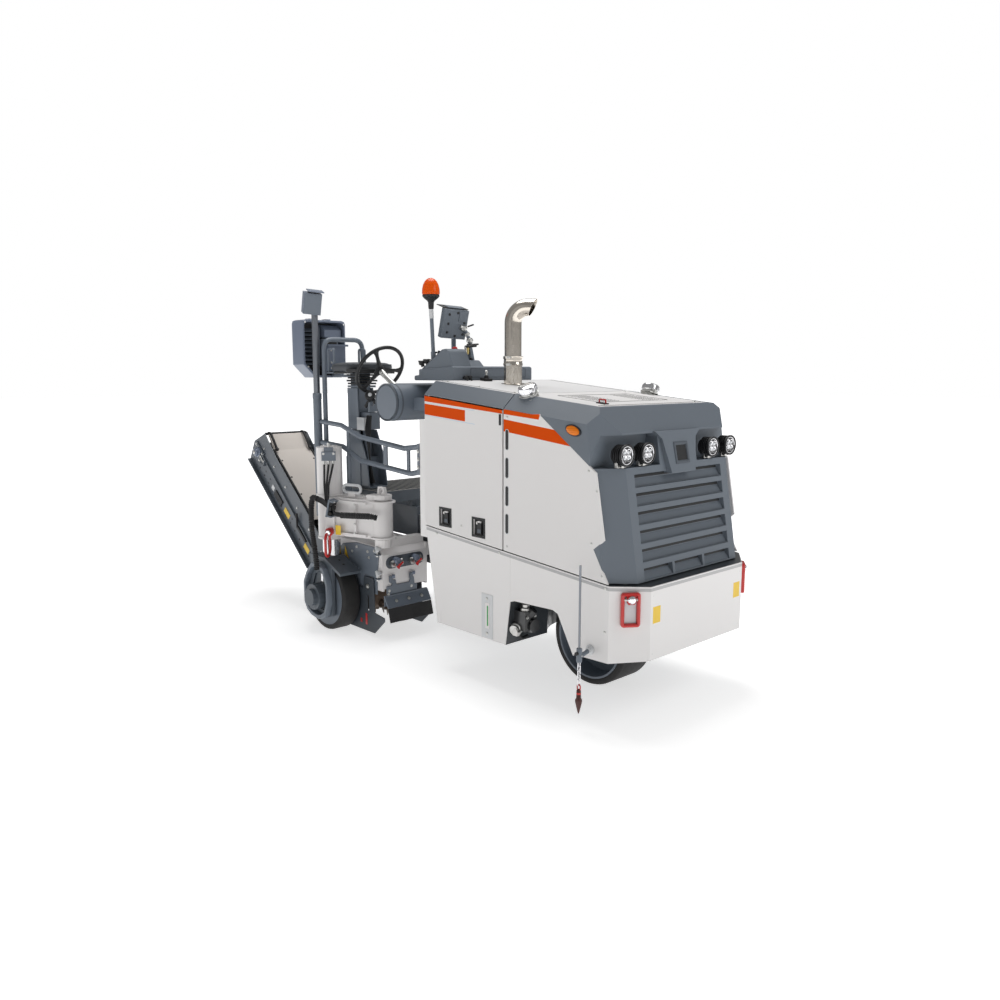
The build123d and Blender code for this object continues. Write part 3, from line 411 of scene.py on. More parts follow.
finishes = {
    "white": paintedSteel("white paint", shade(228, 225, 224)),
    "bodyWhite": bodyWhite(),
    "striped": stripedWhite(),
    "hoodWhite": hoodWhite(),
    "slate": paintedSteel("slate paint", shade(104, 113, 124), 0.42, 0.2, 0.12),
    "slateDark": paintedSteel("dark slate paint", shade(80, 87, 95), 0.44, 0.2, 0.12),
    "edge": paintedSteel("edge plate paint", shade(58, 65, 72), 0.48, 0.1, 0.25),
    "moulding": grainedMoulding("slate moulding", shade(104, 112, 121)),
    "mouldingDark": grainedMoulding("dark slate moulding", shade(82, 89, 97)),
    "cabinet": paintedSteel("cooler slate", shade(112, 122, 140), 0.4, 0.25, 0.1),
    "plastic": grainedMoulding("black plastic", shade(30, 31, 33), 0.46, 0.15),
    # the conveyor cover is white paint, given the darker, warmer tone it shows in shade: painted shade
    "paintedShadeCover": grainedMoulding("white cover sheet in painted shade", shade(214, 206, 198), 0.55, 0.1),
    "leg": legFinish(),
    "tread": treadSteel(),
    "pole": bareMetal("dark drawn pole", (0.22, 0.235, 0.26, 1.0), 0.3, (1.0, 1.0, 0.2)),
    "fluid": paintedSteel("black hydraulic unit", shade(30, 31, 33), 0.28, 0.5, 0.1),
    "chrome": bareMetal("hard chrome", (0.82, 0.82, 0.84, 1.0), 0.06, strength=0.01),
    "steel": bareMetal("brushed steel", (0.6, 0.59, 0.57, 1.0), 0.26, (1.0, 1.0, 8.0)),
    "exhaust": bareMetal("polished stack", (0.7, 0.66, 0.6, 1.0), 0.1, (1.0, 1.0, 0.2),
                         (0.55, 0.46, 0.36, 1.0)),
    "zinc": bareMetal("zinc plate", (0.66, 0.66, 0.64, 1.0), 0.34),
    "brass": bareMetal("yellow passivated fitting", (0.7, 0.56, 0.24, 1.0), 0.3),
    "iron": drumIron(),
    "engine": paintedSteel("engine grey", shade(66, 68, 70), 0.5, 0.1, 0.3),
    "tyre": tyreRubberFinish(),
    "rubber": rubberFinish("black rubber", shade(28, 28, 29)),
    "belt": rubberFinish("belt rubber", shade(38, 38, 39)),
    "red": paintedSteel("red paint", shade(196, 30, 26), 0.34, 0.4, 0.08),
    "mark": paintedSteel("dark red weight", shade(74, 26, 20), 0.42, 0.2, 0.2),
    "yellow": paintedSteel("blank yellow plate", shade(236, 196, 40), 0.42, 0.2, 0.05),
    "plate": paintedSteel("blank light plate", shade(206, 208, 210), 0.3, 0.3, 0.05),
    "lens": lensGlass(),
    "beacon": amberLens("beacon lens", shade(224, 82, 0), 0.1),
    "marker": amberLens("side marker lens", shade(226, 120, 24), 0.05),
    "greenLine": paintedSteel("gauge green", shade(40, 150, 70)),
    "seat": seatVinyl(),
}
print("finishes made:", len(finishes))


# CAD nodes that stay: welded, their edges eased, and given their finish

def dress(name, finish, ease=0.002, segments=2):
    piece = nodes[name]
    for slot in piece.material_slots:
        slot.material = finishes[finish]
    weld = piece.modifiers.new("weld", "WELD")
    weld.merge_threshold = 0.00002
    bevel = piece.modifiers.new("eased edges", "BEVEL")
    bevel.width = ease
    bevel.segments = segments
    bevel.limit_method = "ANGLE"
    bevel.angle_limit = math.radians(28)
    bevel.use_clamp_overlap = True
    piece.modifiers.new("shading", "WEIGHTED_NORMAL").keep_sharp = True


dressed = {
    "chassis_frame": ("bodyWhite", 0.0012),
    "front_frame": ("bodyWhite", 0.0012),
    "rear_frame": ("slateDark", 0.004),
    "engine_block": ("engine", 0.012),
    "rear_hood": ("hoodWhite", 0.004),
    "right_door": ("striped", 0.0025),
    "left_door": ("striped", 0.0025),
    "hood_panels": ("striped", 0.0025),
    "hood_moulding": ("moulding", 0.014, 3),
    "front_fork": ("slateDark", 0.004),
    "swing_arm": ("white", 0.004),
    "left_column": ("white", 0.004),
    "drum_housing": ("white", 0.003),
    "housing_plates": ("slate", 0.002),
    "milling_drum": ("iron", 0.0015),
    "right_edge_plate": ("edge", 0.002),
    "left_edge_plate": ("edge", 0.002),
    "conveyor_frame": ("slateDark", 0.0015),
    "conveyor_belt": ("belt", 0.001),
    "conveyor_cover": ("paintedShadeCover", 0.0015),
    "operator_platform": ("tread", 0.002),
    "stand_column": ("slate", 0.003),
    "steering_column": ("zinc", 0.001),
    "round_tank": ("slate", 0.008),
    "right_leg": ("leg", 0.003),
    "left_leg": ("leg", 0.003),
}
for nodeName, setting in dressed.items():
    dress(nodeName, *setting)
print("CAD nodes dressed:", len(dressed))


# mesh building

def unit(vector):
    return Vector(vector).normalized()


def sideways(axis):
    # two directions square to the axis and to each other
    axis = unit(axis)
    guide = Vector((0, 0, 1)) if abs(axis.z) < 0.9 else Vector((1, 0, 0))
    first = axis.cross(guide).normalized()
    return first, axis.cross(first).normalized()


def rounded(points, bend, steps=6):
    # the same path with each corner drawn as an arc
    points = [Vector(p) for p in points]
    path = [points[0]]
    for before, corner, after in zip(points, points[1:], points[2:]):
        back, ahead = (before - corner), (after - corner)
        angle = back.angle(ahead)
        reach = min(bend / math.tan(angle / 2), back.length * 0.48, ahead.length * 0.48)
        start, end = corner + back.normalized() * reach, corner + ahead.normalized() * reach
        for n in range(steps + 1):
            t = n / steps
            path.append(start * (1 - t) ** 2 + corner * 2 * t * (1 - t) + end * t ** 2)
    path.append(points[-1])
    return path


class Piece:
    # gathers rings, boxes and tubes of several finishes into one object
    def __init__(self, name):
        self.name = name
        self.mesh = bmesh.new()
        self.finishes = []
        self.slot = 0

    def use(self, finish):
        if finish not in self.finishes:
            self.finishes.append(finish)
        self.slot = self.finishes.index(finish)
        return self

    def face(self, corners):
        made = self.mesh.faces.new(corners)
        made.material_index = self.slot
        made.smooth = True
        return made

    def rings(self, loops, closed=True, capped=True):
        rows = [[self.mesh.verts.new(p) for p in loop] for loop in loops]
        count = len(rows[0])
        turns = count if closed else count - 1
        for low, high in zip(rows, rows[1:]):
            for n in range(turns):
                self.face((low[n], low[(n + 1) % count], high[(n + 1) % count], high[n]))
        if capped:
            self.face(rows[0][::-1])
            self.face(rows[-1])
        return self

    def spin(self, profile, origin, axis, sides=32, capped=True):
        # profile holds (along the axis, radius) pairs
        first, second = sideways(axis)
        axis, origin = unit(axis), Vector(origin)
        loops = []
        for along, radius in profile:
            loop = []
            for n in range(sides):
                angle = 2 * math.pi * n / sides
                out = first * math.cos(angle) + second * math.sin(angle)
                loop.append(origin + axis * along + out * radius)
            loops.append(loop)
        return self.rings(loops, capped=capped)

    def ringOf(self, profile, origin, axis, sides=48):
        # a closed ring: the profile's last point joins its first
        return self.spin(list(profile) + [profile[0]], origin, axis, sides, capped=False)

    def tube(self, points, radius, bend=0.0, sides=16, capped=True):
        path = rounded(points, bend) if bend else [Vector(p) for p in points]
        radii = radius if isinstance(radius, (list, tuple)) else [radius] * len(path)
        first, _ = sideways(path[1] - path[0])
        loops = []
        for n, point in enumerate(path):
            ahead = path[min(n + 1, len(path) - 1)] - path[max(n - 1, 0)]
            ahead.normalize()
            first = (first - ahead * first.dot(ahead)).normalized()
            second = ahead.cross(first)
            loop = []
            for k in range(sides):
                angle = 2 * math.pi * k / sides
                loop.append(point + (first * math.cos(angle) + second * math.sin(angle)) * radii[n])
            loops.append(loop)
        return self.rings(loops, capped=capped)

    def box(self, centre, size, turn=None):
        half = Vector(size) / 2
        spin = turn or Matrix.Identity(3)
        corners = []
        for z in (-1, 1):
            loop = [(-1, -1), (1, -1), (1, 1), (-1, 1)]
            corners.append([Vector(centre) + spin @ Vector((x * half.x, y * half.y, z * half.z)) for x,
                            y in loop])
        return self.rings(corners)

    def plate(self, outline, origin, across, up, depth):
        # outline holds (across, up) pairs; the plate grows depth along across x up
        across, up, origin = Vector(across).normalized(), Vector(up).normalized(), Vector(origin)
        grow = across.cross(up).normalized() * depth
        low = [origin + across * u + up * v for u, v in outline]
        return self.rings([low, [p + grow for p in low]])

    def bolt(self, centre, axis, radius=0.009, height=0.007, sides=6):
        self.spin([(0, radius * 1.35), (height * 0.25, radius * 1.35)], centre, axis, 16)
        top = [(height * 0.25, radius), (height * 0.9, radius), (height, radius * 0.86)]
        return self.spin(top, centre, axis, sides)

    def screw(self, centre, axis, radius=0.008):
        dome = [(0, radius), (radius * 0.25, radius), (radius * 0.5, radius * 0.75),
                (radius * 0.6, radius * 0.35)]
        self.spin(dome, centre, axis, 16)
        return self.spin([(radius * 0.6, radius * 0.3), (radius * 0.62, radius * 0.28)], centre, axis, 6)

    def done(self, body, slot=None, ease=0.0, replaces=(), sharp=38, segments=2):
        bmesh.ops.recalc_face_normals(self.mesh, faces=self.mesh.faces)
        data = bpy.data.meshes.new(self.name)
        self.mesh.to_mesh(data)
        self.mesh.free()
        data.set_sharp_from_angle(angle=math.radians(sharp))
        for finish in self.finishes:
            data.materials.append(finishes[finish])
        made = bpy.data.objects.new(self.name, data)
        scene.collection.objects.link(made)
        if ease:
            bevel = made.modifiers.new("eased edges", "BEVEL")
            bevel.width = ease
            bevel.segments = segments
            bevel.limit_method = "ANGLE"
            bevel.angle_limit = math.radians(30)
            bevel.harden_normals = True
        if body:
            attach(made, body)
        if replaces:
            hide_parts(*replaces)
        return made


# camera, light and floor

def setStage():
    camera = bpy.data.objects.new("camera", bpy.data.cameras.new("camera"))
    camera.data.lens = 30.776
    camera.data.sensor_width = 36.0
    camera.location = (4.481, -3.774, 1.8)
    camera.rotation_euler = (math.radians(81.507), 0, math.radians(46.95))
    scene.collection.objects.link(camera)
    scene.camera = camera

    lamps = {
        # name: place, aim, size, power
        "key": ((5.5, 1.5, 4.6), (0.6, 0, 0.9), 3.2, 60),
        "right": ((0.8, -5.5, 3.6), (0.4, 0, 0.9), 3.5, 4),
        "top": ((-0.5, 0.5, 6.0), (0.2, 0, 0.5), 4.0, 190),
    }
    for name, (place, aim, size, power) in lamps.items():
        light = bpy.data.objects.new(name, bpy.data.lights.new(name, "AREA"))
        light.data.shape = "DISK"
        light.data.size = size
        light.data.energy = power
        light.location = place
        light.rotation_euler = (Vector(aim) - Vector(place)).to_track_quat("-Z", "Y").to_euler()
        scene.collection.objects.link(light)

    world = bpy.data.worlds.new("studio")
    world.use_nodes = True
    tree = world.node_tree
    tree.nodes.clear()
    path = tree.nodes.new("ShaderNodeLightPath")
    seen = tree.nodes.new("ShaderNodeMath")
    seen.operation = "MAXIMUM"
    tree.links.new(path.outputs["Is Camera Ray"], seen.inputs[0])
    tree.links.new(path.outputs["Is Transmission Ray"], seen.inputs[1])
    soft = tree.nodes.new("ShaderNodeBackground")
    soft.inputs["Color"].default_value = (1.0, 1.0, 1.0, 1.0)
    soft.inputs["Strength"].default_value = 0.28
    back = tree.nodes.new("ShaderNodeBackground")
    back.inputs["Color"].default_value = (1.0, 1.0, 1.0, 1.0)
    back.inputs["Strength"].default_value = 1.0
    mix = tree.nodes.new("ShaderNodeMixShader")
    out = tree.nodes.new("ShaderNodeOutputWorld")
    tree.links.new(seen.outputs[0], mix.inputs[0])
    tree.links.new(soft.outputs[0], mix.inputs[1])
    tree.links.new(back.outputs[0], mix.inputs[2])
    tree.links.new(mix.outputs[0], out.inputs["Surface"])
    scene.world = world

    mesh = bpy.data.meshes.new("floor")
    ground = bmesh.new()
    bmesh.ops.create_grid(ground, x_segments=1, y_segments=1, size=60)
    ground.to_mesh(mesh)
    ground.free()
    floor = bpy.data.objects.new("floor", mesh)
    floor.location.z = -0.0005
    g = Graph("white studio floor")
    x, y, _ = g.place()
    # the floor's glow rises with distance from the machine: painted light on the far floor, painted shade
    # round the machine
    paintedFloorLight = g.ramp(g.maths("SQRT", (x - 1.0) * (x - 1.0) + y * y), 2.2, 5.0)
    g.finish(colour=(0.8, 0.8, 0.8, 1.0), rough=0.9, specular=0.0, glow=(1.0, 1.0, 1.0, 1.0),
             glowStrength=0.62 + paintedFloorLight * 0.6)
    mesh.materials.append(g.material)
    scene.collection.objects.link(floor)
    scene.view_settings.view_transform = "Standard"


setStage()
print("stage set")


# wheels: solid tyres on dished rims

wheels = {
    "front": {"x": 1.92, "y": 0.0, "radius": 0.27, "width": 0.262, "dish": 0.15, "outer": -1, "bolts": 8},
    "right": {"x": -0.064, "y": -0.6035, "radius": 0.25, "width": 0.133, "dish": 0.06, "outer": 1,
              "bolts": 6},
    "left": {"x": -0.064, "y": 0.6035, "radius": 0.25, "width": 0.133, "dish": 0.06, "outer": -1, "bolts": 6},
}


def wheel(name, place):
    radius, half = place["radius"], place["width"] / 2
    centre = at(place["x"], place["y"], radius)
    out = Vector((0, place["outer"], 0))
    bore = radius - 0.036
    tyre = Piece(name + "_solid_tyre").use("tyre")
    profile = [(-half, bore + 0.0005)]
    profile += [(-half, radius - 0.017), (-half + 0.002, radius - 0.009), (-half + 0.007, radius - 0.003)]
    profile += [(-half + 0.016, radius), (half - 0.016, radius)]
    profile += [(half - 0.007, radius - 0.003), (half - 0.002, radius - 0.009), (half, radius - 0.017)]
    profile += [(half, bore + 0.006), (half - 0.003, bore + 0.0005)]
    tyre.ringOf(profile, centre, out, 96)
    tyre.done(name + "_wheel", "tyre_rubber", replaces=(name + "_tyre",))

    rim = Piece(name + "_dished_rim").use("slate")
    seat = half - place["dish"]
    barrel = [(-half + 0.001, 0.034), (-half + 0.001, bore - 0.0004), (half - 0.001, bore - 0.0004)]
    barrel += [(half - 0.001, bore - 0.012), (half - 0.01, bore - 0.015), (seat + 0.03, bore - 0.02)]
    barrel += [(seat + 0.006, bore - 0.046), (seat, bore - 0.06), (seat, 0.104), (seat + 0.012, 0.084)]
    barrel += [(seat + 0.014, 0.034)]
    rim.ringOf(barrel, centre, out, 96)
    rim.use("zinc")
    first, second = sideways(out)
    for n in range(place["bolts"]):
        angle = 2 * math.pi * n / place["bolts"]
        reach = (first * math.cos(angle) + second * math.sin(angle)) * 0.122
        rim.bolt(centre + out * seat + reach, out, 0.012, 0.014)
    rim.use("slate").spin([(seat + 0.012, 0.06), (seat + 0.026, 0.058), (seat + 0.03, 0.05)], centre, out, 32)
    rim.done(name + "_wheel", "slate_paint", replaces=(name + "_rim",))


for wheelName, wheelPlace in wheels.items():
    wheel(wheelName, wheelPlace)
print("wheels done")


# hood: lamps, filler caps, side markers, screws

def lamps():
    _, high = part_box("work_lamps")
    face, radius = high.x, 0.056
    for n, y in enumerate((-0.46, -0.29, 0.29, 0.46)):
        centre = Vector((face, y, 1.395))
        lamp = Piece(f"work_lamp_{n + 1}").use("plastic")
        body = [(-0.08, 0.03), (-0.078, 0.04), (-0.062, 0.043)]
        for fin in range(4):
            start = -0.062 + fin * 0.011
            body += [(start, 0.053), (start + 0.005, 0.053), (start + 0.005, 0.043), (start + 0.011, 0.043)]
        body += [(-0.016, 0.05), (-0.012, radius), (-0.001, radius), (0.0, radius - 0.003),
                 (0.0, radius - 0.007)]
        body += [(-0.006, radius - 0.01), (-0.01, 0.01)]
        lamp.spin(body, centre, (1, 0, 0), 40)
        lamp.use("chrome").ringOf([(-0.009, 0.046), (-0.004, 0.046), (-0.004, 0.043), (-0.009, 0.04)],
                                  centre, (1, 0, 0))
        for k in range(4):
            angle = math.pi * (0.25 + k * 0.5)
            spot = centre + Vector((-0.009, math.cos(angle) * 0.021, math.sin(angle) * 0.021))
            lamp.use("chrome").spin([(0, 0.019), (0.003, 0.018), (0.001, 0.012), (-0.001, 0.006)], spot,
                                    (1, 0, 0), 20)
            lamp.use("lens").spin([(0.0, 0.009), (0.003, 0.007), (0.004, 0.003)], spot, (1, 0, 0), 16)
        lamp.use("steel").box(centre + Vector((-0.045, 0, -0.058)), (0.03, 0.02, 0.012))
        lamp.box(centre + Vector((-0.045, -0.034, -0.03)), (0.018, 0.004, 0.06))
        lamp.box(centre + Vector((-0.045, 0.034, -0.03)), (0.018, 0.004, 0.06))
        lamp.box(centre + Vector((-0.045, 0, -0.0605)), (0.018, 0.072, 0.004))
        replaced = ("work_lamps",) if n == 0 else ()
        lamp.done("hood", "lamp_black", ease=0.0006, replaces=replaced, segments=1)


def fillerCaps():
    # chrome necks with screw caps on the roof's edge, the right one tipped outwards
    for n, (x, y, lean) in enumerate(((1.765, -0.462, -24), (1.85, 0.47, 20))):
        cap = Piece(f"filler_cap_{n + 1}").use("zinc")
        base = at(x, y, roofZ(x) - 0.02)
        turn = Matrix.Rotation(math.radians(-lean), 3, "X")
        up = turn @ Vector((0, 0, 1))
        cap.spin([(-0.004, 0.05), (0.014, 0.05), (0.016, 0.044), (0.026, 0.042)], base, up, 48)
        cap.spin([(0.022, 0.042), (0.024, 0.055), (0.032, 0.056), (0.034, 0.046), (0.046, 0.045)], base, up,
                 48)
        profile = [(0.04, 0.047), (0.044, 0.052), (0.07, 0.052), (0.077, 0.048), (0.081, 0.038),
                   (0.083, 0.01)]
        cap.use("chrome").spin(profile, base, up, 48)
        for k in range(20):
            angle = 2 * math.pi * k / 20
            spot = base + turn @ Vector((math.cos(angle) * 0.0515, math.sin(angle) * 0.0515, 0.057))
            cap.box(spot, (0.005, 0.006, 0.02), turn @ Matrix.Rotation(angle, 3, "Z"))
        cap.use("steel").box(base + up * 0.0835, (0.07, 0.012, 0.006), turn @ Matrix.Rotation(0.6, 3, "Z"))
        lock = base + turn @ Vector((0.052, -0.026, 0.028))
        cap.use("zinc").box(lock, (0.026, 0.02, 0.024), turn)
        hoop = [lock + turn @ Vector(p) for p in ((-0.008, -0.008, -0.01), (-0.008, -0.03, -0.01),
                                                  (0.01, -0.03, -0.01), (0.01, -0.008, -0.01))]
        cap.tube(hoop, 0.003, 0.008, 8)
        cap.done("hood", "steel", ease=0.0008, replaces=("filler_caps",) if n == 0 else (), segments=1)


lamps()
fillerCaps()


# side marker: its black seat and its amber lens, as (proud, reach)
markerOval = {
    "plastic": [(0.0, 0.046), (0.004, 0.046), (0.006, 0.042)],
    "marker": [(0.004, 0.038), (0.01, 0.036), (0.014, 0.028), (0.016, 0.012)],
}


def hoodDetails():
    grille = {"footX": 2.51, "footZ": 0.748, "headX": 2.413, "headZ": 1.33}
    lean = (grille["headX"] - grille["footX"]) / (grille["headZ"] - grille["footZ"])

    def faceX(z):
        return grille["footX"] + lean * (z - grille["footZ"])

    tilt = Matrix.Rotation(-math.atan(-lean), 3, "Y")
    # a light lip along the foot of each louvre, and at its head a black sheet that paints the shade in the
    # gap
    lips = Piece("louvre_lips").use("mouldingDark")
    for row in range(5):
        z = 1.29 - 0.093 * row - 0.062
        lips.box(at(faceX(z) - 0.0035, 0, z + 0.004), (0.006, 0.764, 0.004), tilt)
    lips.done("hood", "slate_moulding", ease=0.0015)

    louvreGapShade = Piece("louvre_gap_painted_shade").use("plastic")
    for row in range(5):
        z = 1.29 - 0.093 * row
        louvreGapShade.box(at(faceX(z) - 0.0215, 0, z - 0.01), (0.004, 0.75, 0.014), tilt)
    # the lower openings, given black sheets of painted shade the same way
    for low, high in ((-0.377, -0.153), (-0.117, 0.117), (0.153, 0.377)):
        louvreGapShade.box(at(faceX(0.822) - 0.0215, (low + high) / 2, 0.812), (0.004, high - low, 0.012), tilt)
    louvreGapShade.done("hood", "dark_plastic", ease=0.001)

    # blank badge frame in the tongue, with a black plate inside it
    badge = Piece("blank_badge_frame").use("mouldingDark")
    z = 1.382
    tongueX = 2.455 - (z - 1.27) * 0.2128
    for u, v, wide, high in ((0, 0.05, 0.122, 0.014), (0, -0.05, 0.122, 0.014), (0.054, 0, 0.014, 0.09),
                             (-0.054, 0, 0.014, 0.09)):
        badge.box(at(tongueX - v * 0.2128 - 0.0005, u, z + v), (0.01, wide, high),
                  Matrix.Rotation(-0.2097, 3, "Y"))
    badge.use("plastic").box(at(tongueX - 0.003, 0, z), (0.006, 0.094, 0.086),
                             Matrix.Rotation(-0.2097, 3, "Y"))
    badge.done("hood", "slate_moulding", ease=0.002)

    # screws, side markers and the split between hood and side panels
    small = Piece("hood_screws_and_markers").use("zinc")
    for side in (-1, 1):
        outward = Vector((0, side, 0))
        for x, z in ((2.395, 0.8), (2.325, 0.955), (2.355, 1.22), (2.3, 1.318), (1.715, 0.85), (1.715, 1.56)):
            small.use("zinc").screw(at(x, side * 0.5903, z), outward, 0.0065)
        marker = at(2.196, side * 0.5895, 1.513)
        for finish, profile in markerOval.items():
            oval = []
            for along, reach in profile:
                loop = []
                for n in range(32):
                    angle = 2 * math.pi * n / 32
                    slope = math.cos(angle) * reach * 1.15
                    drop = math.sin(angle) * reach * 0.62 - slope * 0.16
                    loop.append(marker + outward * along + Vector((slope, 0, drop)))
                oval.append(loop)
            small.use(finish).rings(oval)
    small.use("zinc")
    for y in (-0.4, 0.4):
        small.screw(at(2.225, y, roofZ(2.225) + 0.0005), (0, 0, 1), 0.0085)
        small.screw(at(1.72, y, roofZ(1.72) + 0.0005), (0, 0, 1), 0.0085)
    small.done("hood", "steel")

    # red pull handle on the hood's top
    handle = Piece("hood_pull_handle").use("plastic")
    x, y = 2.17, -0.34
    z = roofZ(x)
    handle.box(at(x, y, z + 0.003), (0.06, 0.034, 0.006), Matrix.Rotation(0.095, 3, "Y"))
    handle.use("red")
    handle.tube([at(x - 0.022, y, z + 0.004), at(x - 0.022, y, z + 0.024), at(x + 0.022, y, z + 0.02),
                 at(x + 0.022, y, z + 0.002)], 0.0045, 0.01, 10)
    handle.done("hood", "red_paint", ease=0.001)


hoodDetails()
print("hood done")


# doors: latches, slots in the front panel, hinges and screws

def latch(piece, x, z, side):
    # a black cup with a folding paddle
    outward = Vector((0, side, 0))
    face = side * 0.5905
    piece.use("plastic")
    for u, v, wide, high in ((0, 0.052, 0.114, 0.012), (0, -0.052, 0.114, 0.012), (0.051, 0, 0.012, 0.092),
                             (-0.051, 0, 0.012, 0.092)):
        piece.box(at(x + u, face, z + v), (wide, 0.005, high))
    piece.box(at(x, side * 0.576, z), (0.092, 0.003, 0.094))
    piece.box(at(x + 0.004, side * 0.5835, z - 0.006), (0.034, 0.01, 0.066))
    piece.use("mouldingDark").box(at(x + 0.004, side * 0.589, z - 0.02), (0.03, 0.003, 0.022))
    piece.use("steel").spin([(0, 0.01), (0.004, 0.01), (0.005, 0.008)],
                            at(x - 0.02, side * 0.58, z + 0.024), outward, 20)


def doorDetails():
    for name, side in (("right", -1), ("left", 1)):
        outward = Vector((0, side, 0))
        latches = Piece(name + "_door_latches")
        for x in (1.183, 1.479):
            latch(latches, x, grooveZ(x) + 0.09, side)
        latches.use("steel").spin([(0, 0.007), (0.003, 0.007), (0.004, 0.004)],
                                  at(1.329, side * 0.59, 0.916), outward, 20)
        latches.use("plastic")
        latches.box(at(1.66, side * 0.5915, 1.545), (0.012, 0.01, 0.06))
        latches.done(name + "_door", "dark_plastic", ease=0.0012, segments=1)

        # four long vents with rounded ends and light rims
        vents = Piece(name + "_panel_vents")
        for low, high in ((1.381, 1.497), (1.227, 1.344), (1.073, 1.189), (0.919, 1.035)):
            for finish, grow, depth in (("plate", 0.0, 0.0012), ("plastic", -0.0035, 0.0018)):
                reach = 0.0145 + grow
                loop = []
                for end, start in ((high - 0.0145, 0), (low + 0.0145, math.pi)):
                    for n in range(9):
                        angle = start + math.pi * n / 8
                        loop.append((math.cos(angle) * reach, end + math.sin(angle) * reach))
                vents.use(finish)
                rows = []
                for lift in (-0.001, depth):
                    rows.append([at(1.7145 + u, side * (0.59 + lift), v) for u, v in loop])
                vents.rings(rows)
        vents.done("hood", "dark_plastic")


doorDetails()
print("doors done")


# exhaust stack, beacon and the rails and poles drawn round

stackPlace = {"x": 1.24, "y": -0.09, "bendZ": 2.188, "aim": (0.853, 0.522, 0.0), "bend": 0.09,
              "radius": 0.052}


def exhaustStack():
    x, y = stackPlace["x"], stackPlace["y"]
    base = roofZ(x) + 0.001
    foot = at(x, y, base)
    stack = Piece("exhaust_pipe").use("exhaust")
    stack.spin([(-0.006, 0.074), (0.002, 0.074), (0.004, 0.072), (0.005, 0.057)], foot, (0, 0, 1), 48,
               capped=False)
    stack.spin([(-0.004, 0.056), (0.136, 0.056)], foot, (0, 0, 1), 56, capped=False)
    clamp = [(0.112, 0.0565), (0.113, 0.06), (0.124, 0.06), (0.128, 0.057), (0.15, 0.057)]
    clamp += [(0.154, 0.061), (0.168, 0.061), (0.17, 0.0525)]
    stack.spin(clamp, foot, (0, 0, 1), 56, capped=False)
    aim = Vector(stackPlace["aim"])
    bendTop = at(x, y, stackPlace["bendZ"])
    slash = (aim * 0.9 - Vector((0, 0, 0.44))).normalized()
    lip = bendTop + aim * 0.124
    # a vertical run, then an arc that turns towards the aim
    radius = stackPlace["bend"]
    path = [at(x, y, base + 0.14), at(x, y, stackPlace["bendZ"] - radius)]
    for n in range(1, 17):
        angle = math.radians(90) * n / 16
        lift = Vector((0, 0, radius * (math.sin(angle) - 1.0)))
        path.append(bendTop + lift + aim * radius * (1 - math.cos(angle)))
    path.append(bendTop + aim * 0.11)
    path.append(bendTop + aim * 0.16)
    across = aim.cross(Vector((0, 0, 1)))
    walls = []
    for size in (stackPlace["radius"] - 0.0002, stackPlace["radius"] - 0.003):
        loops = []
        for n, point in enumerate(path):
            ahead = (path[min(n + 1, len(path) - 1)] - path[max(n - 1, 0)]).normalized()
            second = ahead.cross(across)
            loop = []
            for k in range(48):
                angle = 2 * math.pi * k / 48
                spot = point + (across * math.cos(angle) + second * math.sin(angle)) * size
                over = (spot - lip).dot(slash)
                if over > 0 and n > 4:
                    spot -= ahead * (over / ahead.dot(slash))
                loop.append(spot)
            loops.append(loop)
        walls.append(loops)
    stack.rings(walls[0] + walls[1][::-1], capped=False)
    stack.use("zinc")
    for n, height in enumerate((0.118, 0.161)):
        spot = foot + Vector((0.35, -0.93, 0)) * 0.064 + Vector((0, 0, height))
        stack.box(spot, (0.024, 0.014, 0.014), Matrix.Rotation(0.36, 3, "Z"))
        stack.bolt(spot + Vector((0.011, 0.004, 0)), (0.93, 0.35, 0), 0.005, 0.008)
    for k in range(4):
        angle = math.pi * (0.25 + 0.5 * k)
        stack.bolt(foot + Vector((math.cos(angle) * 0.066, math.sin(angle) * 0.066, 0.003)), (0, 0, 1),
                   0.005, 0.004)
    stack.done("machine", "chrome", replaces=("exhaust_stack",), sharp=50)


def beacon():
    foot, head = at(0.65, -0.236, 1.823), at(0.648, -0.254, 2.206)
    up = (head - foot).normalized()
    lamp = Piece("warning_beacon").use("slate")
    lamp.tube([foot, head - up * 0.06], 0.0125, sides=24)
    lamp.tube([foot, foot + up * 0.11], 0.0165, sides=24)
    lamp.use("plate").tube([head - up * 0.062, head - up * 0.002], 0.0145, sides=24)
    lamp.use("plastic").spin([(0.0, 0.022), (0.01, 0.022), (0.014, 0.019), (0.02, 0.017)], foot, up, 24)
    neck = [(-0.004, 0.013), (0.0, 0.017), (0.04, 0.019), (0.05, 0.026), (0.064, 0.044), (0.074, 0.053)]
    lamp.spin(neck + [(0.086, 0.055), (0.09, 0.05)], head, (0, 0, 1), 40)
    for k in range(12):
        angle = 2 * math.pi * k / 12
        lamp.box(head + Vector((math.cos(angle) * 0.052, math.sin(angle) * 0.052, 0.08)),
                 (0.006, 0.008, 0.01),
                 Matrix.Rotation(angle, 3, "Z"))
    dome = [(0.088, 0.052), (0.09, 0.0565), (0.1, 0.0575), (0.125, 0.056), (0.15, 0.05), (0.17, 0.04)]
    dome += [(0.184, 0.027), (0.191, 0.014), (0.193, 0.004)]
    lamp.use("beacon").spin(dome, head, (0, 0, 1), 56)
    # clamp knobs on the pole
    lamp.use("plastic")
    for height, out in ((0.05, -1), (0.105, 1)):
        spot = foot + up * height
        lamp.tube([spot, spot + Vector((0.02 * out, 0.018, 0))], 0.006, sides=12)
        lamp.box(spot + Vector((0.026 * out, 0.022, -0.012)), (0.012, 0.012, 0.048),
                 Matrix.Rotation(0.3, 3, "Y"))
    lamp.done("machine", "red_paint", ease=0.001, replaces=("beacon",), segments=1)


